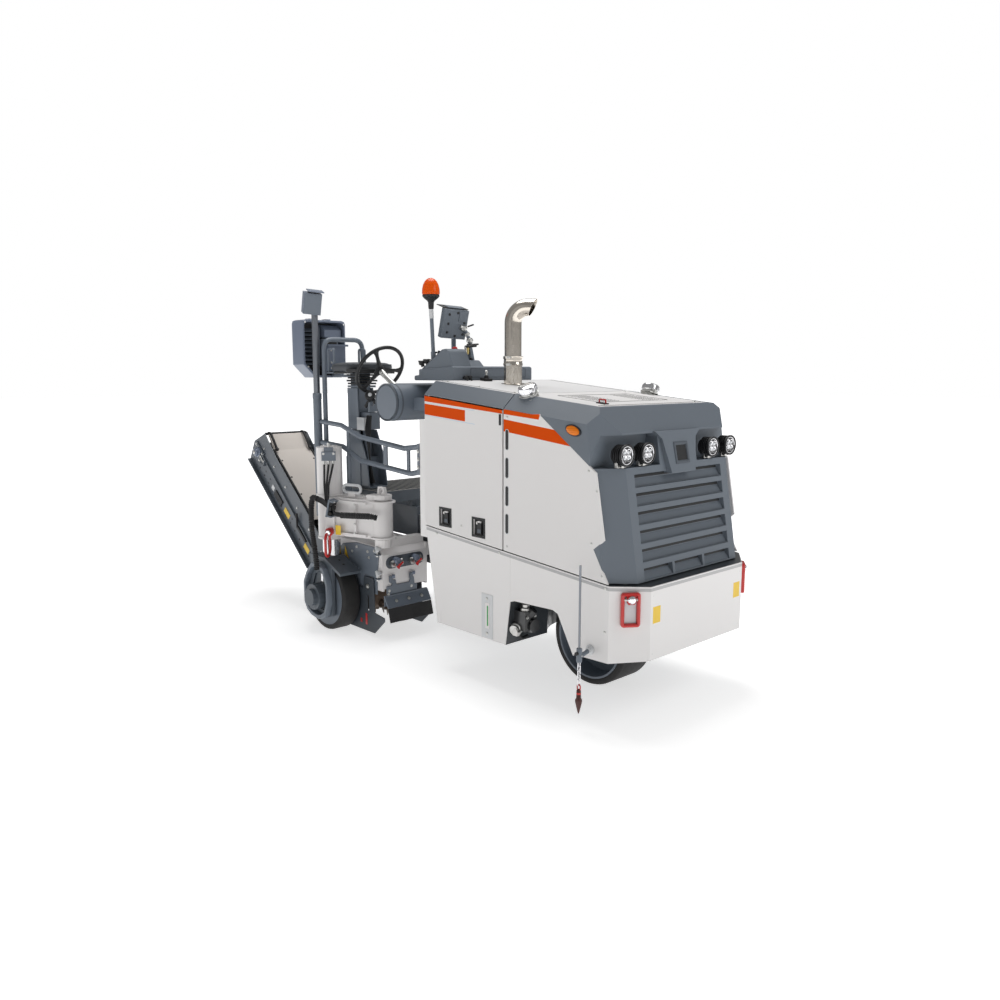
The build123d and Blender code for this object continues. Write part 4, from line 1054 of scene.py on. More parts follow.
def guardRails():
    y = -0.492
    rails = Piece("guard_rails_round").use("slate")
    upper = [at(-0.338, y, 1.449), at(-0.077, y, 1.434), at(0.164, y, 1.364), at(0.655, y, 1.318),
             at(0.925, y - 0.078, 1.35)]
    rails.tube(upper, 0.017, 0.075, 20)
    rails.tube([at(-0.338, y, 1.3), at(-0.06, y, 1.286), at(0.169, y, 1.202), at(0.702, y, 1.162)], 0.017,
               0.075, 20)
    rails.tube([at(0.702, y, 1.162), at(0.74, y - 0.006, 1.163), at(0.925, y - 0.078, 1.197)], 0.017, 0.06,
               20)
    rails.box(at(0.45, y, 1.255), (0.04, 0.01, 0.15))
    rails.box(at(0.699, y, 1.238), (0.026, 0.012, 0.16))
    rails.tube([at(0.012, y, 0.98), at(0.012, y, 1.405)], 0.014, sides=16)
    rails.box(at(0.012, -0.454, 0.972), (0.04, 0.108, 0.02))
    rails.box(at(0.925, -0.573, 1.274), (0.02, 0.034, 0.192))
    for z in (1.299, 1.449):
        rails.box(at(-0.329, -0.474, z), (0.014, 0.044, 0.018))
    tall = [at(-0.33, -0.458, 0.96), at(-0.33, -0.458, 2.034), at(-0.33, -0.133, 2.034),
            at(-0.33, -0.08, 0.96)]
    rails.tube(tall, 0.017, 0.07, 20)
    rails.box(at(-0.2955, -0.43, 0.9625), (0.091, 0.09, 0.025))
    rails.box(at(-0.2955, -0.083, 0.9625), (0.091, 0.042, 0.025))
    rails.use("plastic")
    for z in (1.447, 1.298):
        rails.spin([(0, 0.0175), (0.006, 0.0175), (0.008, 0.014)], at(-0.332, y, z + 0.002), (-1, 0, 0.05),
                   20)
    rails.use("zinc")
    for z in (1.225, 1.274, 1.323):
        rails.bolt(at(0.925, -0.5905, z), (0, -1, 0), 0.009, 0.006)
    for x, z in ((0.45, 1.325), (0.45, 1.19)):
        rails.bolt(at(x, y - 0.005, z), (0, -1, 0), 0.007, 0.005)
    rails.done("machine", "slate_paint", ease=0.0015, replaces=("guard_rails",))


def mast():
    x, y = -0.37, -0.5
    pole = Piece("aerial_mast").use("slate")
    pole.tube([at(x, y, 0.76), at(x, y, 1.64)], 0.0305, sides=28)
    pole.use("pole").tube([at(x, y, 1.64), at(x, y, 2.215)], 0.0225, sides=24)
    pole.use("slate").spin([(-0.02, 0.033), (0.016, 0.033), (0.02, 0.03), (0.024, 0.024)], at(x, y, 1.63),
                           (0, 0, 1), 28)
    pole.box(at(-0.31, y, 0.9125), (0.12, 0.024, 0.025))
    pole.box(at(-0.26, -0.446, 0.9125), (0.02, 0.132, 0.025))
    turn = Matrix.Rotation(math.radians(12), 3, "Y") @ Matrix.Rotation(math.radians(-24), 3, "Z")
    middle = at(x + 0.002, y - 0.022, 2.285)
    pole.use("cabinet").box(middle, (0.126, 0.122, 0.146), turn)
    pole.use("slate").box(middle + turn @ Vector((0.066, 0, 0.0)), (0.006, 0.116, 0.14), turn)
    pole.use("plastic").box(middle + turn @ Vector((0.02, 0.004, 0.079)), (0.07, 0.06, 0.014), turn)
    pole.use("cabinet").box(middle + turn @ Vector((0.03, 0.014, 0.089)), (0.15, 0.11, 0.006), turn)
    pole.use("zinc")
    for v in (-0.052, 0.052):
        for u in (-0.032, 0.032):
            pole.screw(middle + turn @ Vector((0.061, u, v)), turn @ Vector((1, 0, 0)), 0.005)
    pole.done("machine", "slate_paint", ease=0.0015, replaces=("mast",))


exhaustStack()
beacon()
guardRails()
mast()
print("stack, beacon, rails and mast done")


# operator's stand: wheel, seat, display, tray and controls

def circle(radius, middle=0.0, sides=16, squash=1.0):
    # (along, radius) pairs of a round section for ringOf
    turns = [2 * math.pi * n / sides for n in range(sides)]
    return [(math.sin(a) * radius * squash, middle + math.cos(a) * radius) for a in turns]


def steeringWheel():
    hub = at(0.133, -0.3, 1.815)
    axis = Vector((-0.848, 0, 0.5299))
    along, beside = Vector((0.5299, 0, 0.848)), Vector((0, 1, 0))
    wheel = Piece("hand_wheel").use("plastic")
    wheel.ringOf(circle(0.0125, 0.1795), hub, axis, 96)
    wheel.spin([(-0.015, 0.026), (-0.012, 0.033), (0.006, 0.034), (0.013, 0.03), (0.016, 0.018)], hub, axis,
               40)
    for angle in (90, 210, 330):
        turn = math.radians(angle)
        out = along * math.cos(turn) + beside * math.sin(turn)
        side = axis.cross(out)
        loops = []
        for reach, half, thick, dip in ((0.02, 0.028, 0.01, 0.0), (0.05, 0.019, 0.009, -0.002),
                                        (0.09, 0.0135, 0.008, -0.003),
                                        (0.13, 0.013, 0.008, -0.002), (0.155, 0.018, 0.008, 0.0),
                                        (0.174, 0.032, 0.007, 0.0)):
            middle = hub + out * reach + axis * dip
            loop = []
            for n in range(12):
                a = 2 * math.pi * n / 12
                loop.append(middle + side * math.cos(a) * half + axis * math.sin(a) * thick)
            loops.append(loop)
        wheel.rings(loops)
    wheel.done("steering_wheel", "dark_plastic", replaces=("steering_wheel",))

    shaft = Piece("steering_shaft_collars").use("zinc")
    for reach, radius in ((0.036, 0.0215), (0.06, 0.0205), (0.2, 0.0205), (0.33, 0.0225)):
        shaft.spin([(-0.008, radius - 0.002), (-0.006, radius), (0.006, radius), (0.008, radius - 0.002)],
                   hub - axis * reach, axis, 32)
    shaft.done("machine", "steel")


def seat():
    # a crowned pad: rows of rings from the piping up to the middle of the top, with two seams
    low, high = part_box("seat_cushion")
    middle, half = (low + high) / 2, (high - low) / 2
    pad = Piece("seat_pad").use("seat")

    def ring(inset, z, rounding=5.0):
        loop = []
        for n in range(128):
            a = 2 * math.pi * n / 128
            c, s = math.cos(a), math.sin(a)
            u = math.copysign(abs(c) ** (2 / rounding), c) * (half.x - inset)
            v = math.copysign(abs(s) ** (2 / rounding), s) * (half.y - inset)
            loop.append(Vector((middle.x + u, middle.y + v, z)))
        return loop

    def topZ(spot):
        u, v = (spot.x - middle.x) / half.x, (spot.y - middle.y) / half.y
        crown = 0.012 * (1 - u ** 4) * (1 - v ** 4)
        seams = sum(math.exp(-((v - line) * half.y / 0.0035) ** 2) for line in (-0.52, 0.52))
        return high.z - 0.011 + crown - 0.0035 * seams * (1 - u ** 4)

    edge = ((0.02, 0.001), (0.006, 0.004), (0.001, 0.014), (0.0, 0.03), (0.001, 0.041), (0.004, 0.0455),
            (0.0075, 0.0465), (0.009, 0.049))
    sides = [ring(inset, low.z + rise) for inset, rise in edge]
    tops = []
    for step in range(1, 24):
        loop = ring(0.009 + 0.181 * (step / 24) ** 1.1 * 0.96, 0.0, 5.0 - 2.2 * step / 24)
        for spot in loop:
            ease = min(1.0, step / 3.5)
            spot.z = (low.z + 0.049) * (1 - ease) + topZ(spot) * ease
        tops.append(loop)
    pad.rings(sides + tops)
    # piping round the edge
    path = ring(0.0035, low.z + 0.0475)
    rows = []
    for n in range(128):
        ahead = (path[(n + 1) % 128] - path[n - 1]).normalized()
        out = ahead.cross(Vector((0, 0, 1)))
        rows.append([path[n] + out * math.cos(a) * 0.0028 + Vector((0, 0, math.sin(a) * 0.0028))
                     for a in (2 * math.pi * k / 8 for k in range(8))])
    pad.rings(rows + [rows[0]], capped=False)
    padded = pad.done("machine", "seat_cover", replaces=("seat_cushion",), sharp=60)

    # shell under the pad, tray beside it, bellows, and the pedestal's top and side plates
    base = Piece("seat_shell_and_tray").use("plastic")
    base.box(at(-0.13, -0.27, 1.7985), (0.29, 0.36, 0.014))
    base.box(at(0.03, -0.39, 1.8035), (0.12, 0.15, 0.006))
    for u, v, wide, deep in ((0.03, -0.466, 0.12, 0.006), (0.03, -0.314, 0.12, 0.006),
                             (0.092, -0.39, 0.006, 0.15)):
        base.box(at(u, v, 1.812), (wide, deep, 0.022))
    for n in range(4):
        z = 1.7815 - 0.02 * n
        base.box(at(-0.12, -0.28, z), (0.17 - 0.012 * (n % 2), 0.15 - 0.012 * (n % 2), 0.012))
    base.use("slate")
    base.box(at(-0.125, -0.28, 1.701), (0.15, 0.14, 0.014))
    for y in (-0.345, -0.215):
        base.plate([(-0.2, 1.4), (-0.06, 1.4), (-0.075, 1.69), (-0.2, 1.69)], at(0, y, 0),
                   (1, 0, 0), (0, 0, 1), 0.008)
    base.done("machine", "dark_plastic", ease=0.002, segments=2)


def standControls():
    gear = Piece("stand_levers_and_fittings").use("slate")
    # gusset with its two three-cornered openings, drawn as bars
    for start, end in (((0.03, 1.01), (-0.085, 1.395)), ((-0.08, 1.01), (-0.08, 1.395)),
                       ((-0.085, 1.14), (-0.01, 1.14))):
        a, b = at(start[0], -0.318, start[1]), at(end[0], -0.318, end[1])
        ahead = (b - a).normalized()
        side = ahead.cross(Vector((0, 1, 0))) * 0.016
        thick = Vector((0, 0.01, 0))
        gear.rings([[a - side, a + side, a + side + thick, a - side + thick],
                    [b - side, b + side, b + side + thick, b - side + thick]])
    gear.box(at(-0.13, -0.28, 1.1), (0.18, 0.17, 0.2))
    cheek = [(-0.225, 1.0), (0.06, 1.0), (0.03, 1.2), (-0.06, 1.39), (-0.2, 1.39)]
    for y in (-0.352, -0.2):
        gear.plate(cheek, at(0, y, 0), (1, 0, 0), (0, 0, 1), 0.008)
    gear.use("plate").box(at(-0.035, -0.342, 1.44), (0.09, 0.034, 0.09))
    gear.use("slate").box(at(0.04, -0.28, 1.56), (0.02, 0.11, 0.07))
    gear.use("plastic")
    knobs = (((0.03, -0.3, 1.56), (0.11, -0.33, 1.6), 0.019),
             ((0.03, -0.255, 1.56), (0.1, -0.25, 1.64), 0.016))
    for foot, tip, radius in knobs:
        foot, tip = at(*foot), at(*tip)
        gear.use("steel").tube([foot, tip], 0.005, sides=12)
        ball = [(-radius, radius * 0.3), (-radius * 0.6, radius * 0.8), (0, radius),
                (radius * 0.6, radius * 0.8), (radius, radius * 0.3)]
        gear.use("plastic").spin(ball, tip, tip - foot, 24)
    # big dome knob with a pale cap
    knob = at(0.085, -0.352, 1.64)
    aim = Vector((0.72, -0.62, 0.3))
    gear.spin([(-0.05, 0.016), (-0.02, 0.02), (-0.016, 0.036), (0.006, 0.038), (0.018, 0.032),
               (0.024, 0.018)], knob, aim, 32)
    gear.use("plate").spin([(0.022, 0.014), (0.03, 0.012), (0.032, 0.006)], knob, aim, 24)
    gear.use("plastic").tube([at(0.0, -0.335, 1.56), knob - unit(aim) * 0.045], 0.012, sides=14)
    for n in range(5):
        gear.tube([at(0.01 + 0.012 * n, -0.33, 1.5), at(0.018 + 0.012 * n, -0.352, 1.4 - 0.02 * n),
                   at(0.03, -0.33, 1.18),
                   at(0.01 + 0.014 * n, -0.318, 1.02)], 0.005, 0.05, 8)
    gear.done("machine", "slate_paint", ease=0.0015)

    # small hoops behind the seat
    hoops = Piece("seat_side_hoops").use("slate")
    for y in (-0.44, -0.18):
        hoops.tube([at(-0.3, y, 1.795), at(-0.3, y, 1.965), at(-0.225, y, 1.965), at(-0.225, y, 1.795)],
                   0.008, 0.015, 12)
    hoops.box(at(-0.262, -0.31, 1.797), (0.09, 0.29, 0.01))
    hoops.use("cabinet")
    hoops.box(at(-0.44, -0.3, 1.9), (0.07, 0.13, 0.18))
    hoops.box(at(-0.43, -0.3, 1.995), (0.09, 0.17, 0.014))
    hoops.use("zinc")
    for z in (1.83, 1.87, 1.96):
        hoops.screw(at(-0.4045, -0.35, z), (1, 0, 0), 0.007)
    hoops.done("machine", "slate_paint", ease=0.002)


def cabinet():
    # open-fronted cooler housing: rounded frame, louvred back, the light box and the guides inside it
    shell = Piece("cooler_housing").use("cabinet")
    outline = [(-0.44, 1.762), (-0.215, 1.762), (-0.178, 1.806), (-0.175, 2.15), (-0.182, 2.17),
               (-0.205, 2.178)]
    outline += [(-0.505, 2.178), (-0.528, 2.17), (-0.535, 2.15), (-0.535, 1.856)]
    middleY = -0.355
    middleZ = 1.97

    def inset(share, x):
        return [at(x, middleY + (y - middleY) * share, middleZ + (z - middleZ) * share) for y, z in outline]

    rows = [inset(0.93, -0.64), inset(1.0, -0.632), inset(1.0, -0.484), inset(0.985, -0.48),
            inset(0.925, -0.48), inset(0.925, -0.616)]
    shell.rings(rows)
    shell.use("plastic").rings([inset(0.915, -0.6155), inset(0.915, -0.6145)])
    shell.use("slate")
    for n in range(9):
        z = 1.868 + 0.03 * n
        shell.box(at(-0.59, -0.445, z), (0.044, 0.15, 0.004), Matrix.Rotation(0.5, 3, "Y"))
    for y in (-0.512, -0.366):
        shell.box(at(-0.575, y, 1.99), (0.078, 0.006, 0.28))
    shell.use("cabinet")
    front = [(-0.606, 2.055), (-0.505, 2.055), (-0.505, 2.11), (-0.56, 2.146), (-0.606, 2.146)]
    shell.plate(front, at(0, -0.2, 0), (1, 0, 0), (0, 0, 1), 0.14)
    shell.use("slate").box(at(-0.56, -0.285, 1.96), (0.09, 0.13, 0.17))
    shell.use("plastic").box(at(-0.5145, -0.285, 1.965), (0.004, 0.104, 0.14))
    shell.use("cabinet")
    for y in (-0.43, -0.29):
        shell.box(at(-0.56, y, 2.1815), (0.06, 0.04, 0.014))
    shell.use("zinc")
    for y, z in ((-0.498, 1.84), (-0.19, 1.83), (-0.19, 2.15), (-0.515, 2.158)):
        shell.screw(at(-0.4802, y, z), (1, 0, 0), 0.0065)
    shell.done("machine", "slate_paint", ease=0.003, replaces=("finned_cabinet",))


def display():
    turn = (Matrix.Rotation(math.radians(15), 3, "Y") @ Matrix.Rotation(math.radians(-12), 3, "Z"))
    middle = at(0.712, -0.12, 2.113)

    def on(u, v, w):
        return middle + turn @ Vector((u, v, w))

    unitBox = Piece("display_housing").use("moulding")
    unitBox.box(on(0, 0, 0), (0.044, 0.178, 0.188), turn)
    unitBox.box(on(0.0215, 0.052, 0.055), (0.012, 0.062, 0.066), turn)
    unitBox.use("plastic").box(on(-0.0225, 0, 0), (0.003, 0.156, 0.166), turn)
    unitBox.box(on(-0.049, 0, 0.0985), (0.104, 0.184, 0.005), turn)
    unitBox.use("slate").box(on(-0.03, 0, 0.103), (0.07, 0.12, 0.005), turn)
    unitBox.done("machine", "dark_plastic", ease=0.005, replaces=("display_unit",), segments=3)

    arm = Piece("display_arm").use("slate")
    x, y, z = 0.75, -0.014, 1.905
    # wedge foot on the console, two links with round joints, and the clamp on the housing's back
    arm.plate([(-0.052, -0.085), (0.052, -0.085), (0.012, 0.06), (-0.012, 0.06)], at(x, y + 0.012, z),
              (1, 0, 0), (0, 0, 1), 0.024)
    arm.plate([(-0.03, -0.085), (0.03, -0.085), (0.01, 0.03), (-0.01, 0.03)], at(x - 0.012, y, z),
              (0, 1, 0), (0, 0, 1), 0.024)
    arm.tube([at(x, y, z + 0.02), at(x, y, z + 0.085)], 0.0135, sides=20)
    joints = (at(x, y, z + 0.1), at(x - 0.01, y - 0.014, z + 0.142), at(x - 0.002, y - 0.046, z + 0.178))
    for spot, radius in zip(joints, (0.0235, 0.019, 0.021)):
        arm.use("zinc").spin([(-radius, radius * 0.35), (-radius * 0.75, radius * 0.75), (0, radius),
                              (radius * 0.75, radius * 0.75),
                              (radius, radius * 0.35)], spot, (0.6, -0.8, 0.1), 24)
    arm.use("slate").tube([joints[0], joints[1]], 0.012, sides=16)
    arm.tube([joints[1], joints[2]], 0.012, sides=16)
    arm.use("brass").tube([at(x + 0.006, y - 0.022, z + 0.012), at(x + 0.006, y - 0.022, z + 0.058)], 0.009,
                          sides=14)
    arm.use("zinc").tube([joints[2], on(0.024, 0.04, -0.01)], 0.014, sides=18)
    arm.use("plastic")
    for start, end in (((0.006, -0.03, 0.074), (0.016, 0.062, 0.079)),
                       ((0.014, -0.03, 0.19), (0.036, 0.004, 0.204))):
        arm.tube([at(x + start[0], y + start[1], z + start[2]), at(x + end[0], y + end[1], z + end[2])],
                 0.0055, sides=12)
    arm.use("plastic")
    for v, w in ((-0.05, 0.06), (-0.05, 0.0), (-0.05, -0.055), (0.01, 0.075), (0.01, -0.075),
                 (0.066, -0.06), (0.066, 0.015)):
        arm.spin([(0, 0.0085), (0.003, 0.0085), (0.004, 0.006)], on(0.022, v, w), turn @ Vector((1, 0, 0)),
                 20)
    arm.done("machine", "dark_plastic", ease=0.001, segments=1)


def console():
    desk = Piece("console_body").use("moulding")

    def slab(profile, y0, y1):
        desk.rings([[at(x, y0, z) for x, z in profile], [at(x, y1, z) for x, z in profile]])

    low = [(0.588, 1.749), (0.588, 1.779), (0.636, 1.784), (0.636, 1.82), (0.966, 1.838), (0.984, 1.832),
           (0.984, 1.749)]
    slab(low, -0.354, 0.334)
    wedge = [(0.64, 1.812), (0.87, 1.944), (0.902, 1.946), (0.926, 1.93), (0.972, 1.83)]
    slab(wedge, -0.342, -0.19)
    slab([(0.7, 1.815), (0.76, 1.87), (0.9, 1.878), (0.955, 1.83)], -0.188, -0.06)
    slab([(0.642, 1.75), (0.8, 1.75), (0.994, 1.702), (0.994, 1.502), (0.972, 1.502), (0.782, 1.7)], 0.06,
         0.3)
    desk.done("machine", "slate_moulding", ease=0.009, replaces=("console",), segments=3)

    trim = Piece("console_trim").use("mouldingDark")
    # sunk panel on the front face, framed by thin lines
    for z in (1.824, 1.77):
        trim.box(at(0.985, 0.03, z), (0.003, 0.48, 0.004))
    for y in (-0.21, 0.27):
        trim.box(at(0.985, y, 1.797), (0.003, 0.004, 0.056))
    # rim round the slanted panel and its sunk middle
    lift = Vector((0.23, 0, 0.132)).normalized()
    normal = Vector((-lift.z, 0, lift.x))
    turn = Matrix((lift, (0, 1, 0), normal)).transposed()
    panel = at(0.755, -0.266, 1.878)
    trim.box(panel + normal * 0.0035, (0.24, 0.138, 0.005), turn)
    trim.use("plastic").box(panel + normal * 0.0065, (0.206, 0.112, 0.004), turn)
    trim.use("plate")
    for n in range(6):
        spot = panel + normal * 0.0095 + lift * (-0.07 + 0.028 * n)
        trim.box(spot + Vector((0, 0.024 if n % 2 else -0.024, 0)), (0.018, 0.026, 0.004), turn)
    trim.use("plastic")
    for n in range(3):
        trim.spin([(0, 0.011), (0.014, 0.01), (0.018, 0.006)], at(0.8 + 0.045 * n, -0.124, 1.876),
                  (-0.1, 0, 1), 20)
    # two plugs at the front, their wires, and the wing knobs at the right end
    for y in (-0.268, -0.236):
        trim.spin([(0.0, 0.01), (0.012, 0.01), (0.014, 0.013), (0.03, 0.013), (0.032, 0.009)],
                  at(0.984, y, 1.766), (1, 0, 0.1), 18)
        trim.tube([at(1.012, y, 1.768), at(1.022, y, 1.752), at(1.018, y, 1.742)], 0.006, 0.008, 10)
    for x, y, z in ((0.64, -0.318, 1.836), (0.668, -0.3, 1.846)):
        trim.spin([(0, 0.012), (0.014, 0.012), (0.018, 0.02), (0.034, 0.02), (0.038, 0.014)], at(x, y, z),
                  (-0.3, -0.2, 1.0), 20)
        trim.box(at(x - 0.006, y - 0.004, z + 0.034), (0.05, 0.012, 0.01), Matrix.Rotation(0.5, 3, "Z"))
    # lever with its black grip, the red stop and the slate post behind
    trim.use("steel").tube([at(0.842, -0.12, 1.872), at(0.862, -0.15, 1.962)], 0.007, sides=12)
    trim.use("plastic").tube([at(0.862, -0.15, 1.962), at(0.866, -0.06, 1.97)], 0.0085, sides=14)
    trim.use("red").spin([(0, 0.014), (0.008, 0.02), (0.018, 0.02), (0.024, 0.012)],
                         at(0.85, -0.225, 1.935), normal, 24)
    trim.use("slate").tube([at(0.64, -0.06, 1.8), at(0.64, -0.06, 2.02)], 0.0155, sides=20)
    trim.done("machine", "slate_moulding", ease=0.0012, segments=1)

    tank = Piece("round_tank_trim").use("mouldingDark")
    x, z = 0.552, 1.61
    tank.ringOf([(0.0, 0.1125), (0.004, 0.12), (0.01, 0.1205), (0.012, 0.12), (0.01, 0.1125)],
                at(x, -0.5415, z), (0, -1, 0), 72)
    tank.ringOf([(0.0, 0.1198), (0.001, 0.1212), (0.011, 0.1212), (0.012, 0.1198)], at(x, -0.5, z),
                (0, -1, 0), 72)
    tank.use("plastic").ringOf([(0.0, 0.1198), (0.001, 0.1225), (0.013, 0.1225), (0.014, 0.1198)],
                               at(x, -0.06, z), (0, -1, 0), 72)
    tank.done("machine", "slate_moulding")


steeringWheel()
seat()
standControls()
cabinet()
display()
console()
print("operator's stand done")


# rear wheels' carriers, milling unit and hoses

def sleeve(piece, points, radius, bend=0.05, pitch=0.013):
    # corrugated conduit: the path is walked in short steps and the radius rises and falls
    path = rounded(points, bend, 10)
    walked, radii = [path[0]], [radius]
    travelled = 0.0
    for a, b in zip(path, path[1:]):
        length = (b - a).length
        steps = max(1, round(length / (pitch / 2)))
        for n in range(1, steps + 1):
            walked.append(a.lerp(b, n / steps))
            travelled += length / steps
            radii.append(radius * (1.0 if round(travelled / (pitch / 2)) % 2 else 0.76))
    return piece.tube(walked, radii, sides=14)


def clevisRing(piece, centre, wide, high, radius, across, up, finish="red"):
    # a long oval ring of round bar
    across, up = unit(across), unit(up)
    reach = wide / 2
    rows = []
    normal = across.cross(up)
    for n in range(48):
        a = 2 * math.pi * n / 48
        straight = (high / 2 - reach) * (1 if math.sin(a) >= 0 else -1)
        middle = centre + across * math.cos(a) * reach + up * (math.sin(a) * reach + straight)
        out = across * math.cos(a) + up * math.sin(a)
        rows.append([middle + out * math.cos(b) * radius + normal * math.sin(b) * radius
                     for b in (2 * math.pi * k / 12 for k in range(12))])
    piece.use(finish).rings(rows + [rows[0]], capped=False)


def armHoses():
    hoses = Piece("arm_hose_set").use("slate")
    turn = Matrix.Rotation(math.radians(-34), 3, "Z")
    head = at(0.031, -0.667, 1.236)
    hoses.box(head, (0.048, 0.094, 0.06), turn)
    hoses.box(head + Vector((0, 0, 0.045)), (0.03, 0.06, 0.03), turn)
    hoses.use("zinc")
    for n in range(3):
        spot = head + turn @ Vector((0.012, -0.03 + 0.03 * n, -0.03))
        hoses.spin([(0, 0.01), (0.01, 0.01), (0.012, 0.008), (0.026, 0.008)], spot, (0, 0, -1), 6)
    for v in (-0.034, 0.034):
        hoses.bolt(head + turn @ Vector((0.024, v, 0.018)), turn @ Vector((1, 0, 0)), 0.006, 0.006)
    hoses.tube([head + Vector((0, 0, 0.056)), head + Vector((0, 0, 0.09))], 0.009, sides=14)
    hoses.use("rubber")
    for n in range(3):
        top = head + turn @ Vector((0.012, -0.03 + 0.03 * n, -0.05))
        knee = at(0.02 + 0.02 * n, -0.7 + 0.004 * n, 1.04)
        hoses.tube([top, knee, at(0.05 + 0.016 * n, -0.712, 0.945),
                    at(0.072, -0.712 + 0.006 * n, 0.9 + 0.012 * n)], 0.0072, 0.06, 12)
    # clamp plate and the loose run of four hoses into the sleeve
    plate = at(0.086, -0.7, 0.89)
    lean = Matrix.Rotation(math.radians(30), 3, "Z") @ Matrix.Rotation(math.radians(12), 3, "Y")
    hoses.use("slate")
    hoses.box(plate, (0.012, 0.08, 0.12), lean)
    hoses.box(plate + lean @ Vector((0.018, 0, 0.052)), (0.036, 0.08, 0.01), lean)
    hoses.box(plate + lean @ Vector((0.018, 0, -0.052)), (0.036, 0.08, 0.01), lean)
    hoses.use("plastic")
    for k in range(3):
        hoses.box(plate + lean @ Vector((0.01, 0, -0.036 + 0.036 * k)), (0.03, 0.068, 0.026), lean)
    hoses.use("zinc")
    for v in (-0.03, 0.03):
        hoses.bolt(plate + lean @ Vector((0.036, v, 0.05)), (0, 0, 1), 0.006, 0.006)
    hoses.use("rubber")
    for n in range(4):
        start = plate + lean @ Vector((0.02, -0.018 + 0.012 * n, 0.034 - 0.024 * n))
        hoses.tube([start, at(0.15, -0.706 + 0.006 * n, 0.842 + 0.006 * n),
                    at(0.215, -0.686, 0.848 + 0.004 * n)], 0.0078, 0.08, 12)
    sleeve(hoses, [at(0.206, -0.69, 0.852), at(0.33, -0.652, 0.858), at(0.43, -0.612, 0.862),
                   at(0.452, -0.575, 0.85)], 0.0215, 0.04)
    # run from the clamp up and over to the wheel's conduit
    for n in range(3):
        hoses.tube([plate + lean @ Vector((-0.01, -0.012 + 0.012 * n, 0.02 - 0.016 * n)),
                    at(0.05, -0.745, 0.955 - 0.014 * n),
                    at(0.01, -0.772, 0.965 - 0.01 * n)], 0.0078, 0.05, 12)
    sleeve(hoses, [at(0.03, -0.764, 0.952), at(-0.008, -0.778, 0.962), at(-0.034, -0.775, 0.9),
                   at(-0.038, -0.775, 0.8)], 0.0205, 0.035)
    hoses.done("swing_arm", "rubber", ease=0.0015, replaces=("arm_hoses",), segments=1)

    # the lower conduit, from the arm down to the lifting leg
    conduit = Piece("leg_conduit").use("rubber")
    sleeve(conduit, [at(-0.038, -0.775, 0.802), at(-0.036, -0.775, 0.74), at(-0.006, -0.775, 0.6),
                     at(0.01, -0.776, 0.525), at(0.006, -0.77, 0.46)],
           0.02, 0.08)
    made = conduit.done(None, "rubber")
    at(-0.036, -0.775, 0.78)
    at(0.006, -0.77, 0.48)
    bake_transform(made)


def legFittings():
    # hub motor, its fittings and the blank marks on the wheel's cheek
    for name, side in (("right", -1), ("left", 1)):
        x, outer = -0.064, side * 0.67
        out = Vector((0, side, 0))
        hub = Piece(name + "_hub_motor").use("slate")
        centre = at(x, outer - side * 0.034, 0.25)
        for angle in range(0, 360, 60):
            a = math.radians(angle + 30)
            hub.spin([(0, 0.015), (0.052, 0.015), (0.056, 0.011)],
                     centre + Vector((math.cos(a) * 0.072, 0, math.sin(a) * 0.072)), out, 16)
        hub.spin([(0.0, 0.052), (0.06, 0.052), (0.064, 0.047), (0.066, 0.02)], centre, out, 32)
        hub.spin([(0.06, 0.034), (0.092, 0.032), (0.096, 0.024)], centre, out, 24)
        carrier = [(-0.166, 0.334), (-0.12, 0.415), (-0.06, 0.48), (0.02, 0.5), (0.1, 0.462), (0.148, 0.36)]
        carrier += [(0.15, 0.22), (0.118, 0.13), (0.06, 0.098), (0.005, 0.087), (-0.07, 0.1),
                    (-0.125, 0.128), (-0.163, 0.183)]
        rows = []
        for share, proud in ((1.0, 0.036), (1.0, 0.066), (0.975, 0.074), (0.86, 0.074), (0.84, 0.068),
                             (0.84, 0.038)):
            rows.append([at(x + u * share, outer + side * proud, 0.29 + (v - 0.29) * share) for u,
                         v in carrier])
        hub.rings(rows + [rows[0]], capped=False)
        hub.use("zinc")
        for angle in range(0, 360, 60):
            a = math.radians(angle + 30)
            hub.bolt(centre + Vector((math.cos(a) * 0.072, side * 0.056, math.sin(a) * 0.072)), out, 0.007,
                     0.007)
        for u in (-0.022, 0.014):
            elbow = [at(x + 0.03 + u, outer - side * 0.006, 0.335),
                     at(x + 0.03 + u, outer + side * 0.02, 0.345),
                     at(x + 0.03 + u, outer + side * 0.016, 0.405)]
            hub.use("chrome").tube(elbow, 0.0125, 0.018, 16)
            hub.spin([(0.0, 0.016), (0.014, 0.016), (0.016, 0.013)], elbow[2] - Vector((0, 0, 0.012)),
                     (0, 0, 1), 6)
            hub.use("rubber").tube([elbow[2], at(x + 0.05 + u * 0.5, outer + side * 0.03, 0.47)], 0.009,
                                   sides=12)
        hub.use("plastic").box(at(x + 0.01, outer - side * 0.006, 0.44), (0.03, 0.012, 0.034))
        hub.spin([(0, 0.0055), (0.002, 0.0055), (0.003, 0.003)],
                 at(x + 0.08, outer + side * 0.01, 0.5302) + Vector((0, 0, -0.004)), (0, 0, 1), 14)
        for u, v in ((0.118, -0.012), (0.17, -0.01)):
            spot = at(x + u, side * 0.62, 0.53 - (u - 0.07) * 0.4375)
            hub.spin([(0, 0.008), (0.0012, 0.008), (0.0016, 0.006)], spot + Vector((0.0005, 0, 0.0008)),
                     (0.4, 0, 0.916), 14)
        hub.done(name + "_leg", "slate_paint", ease=0.001, segments=1)


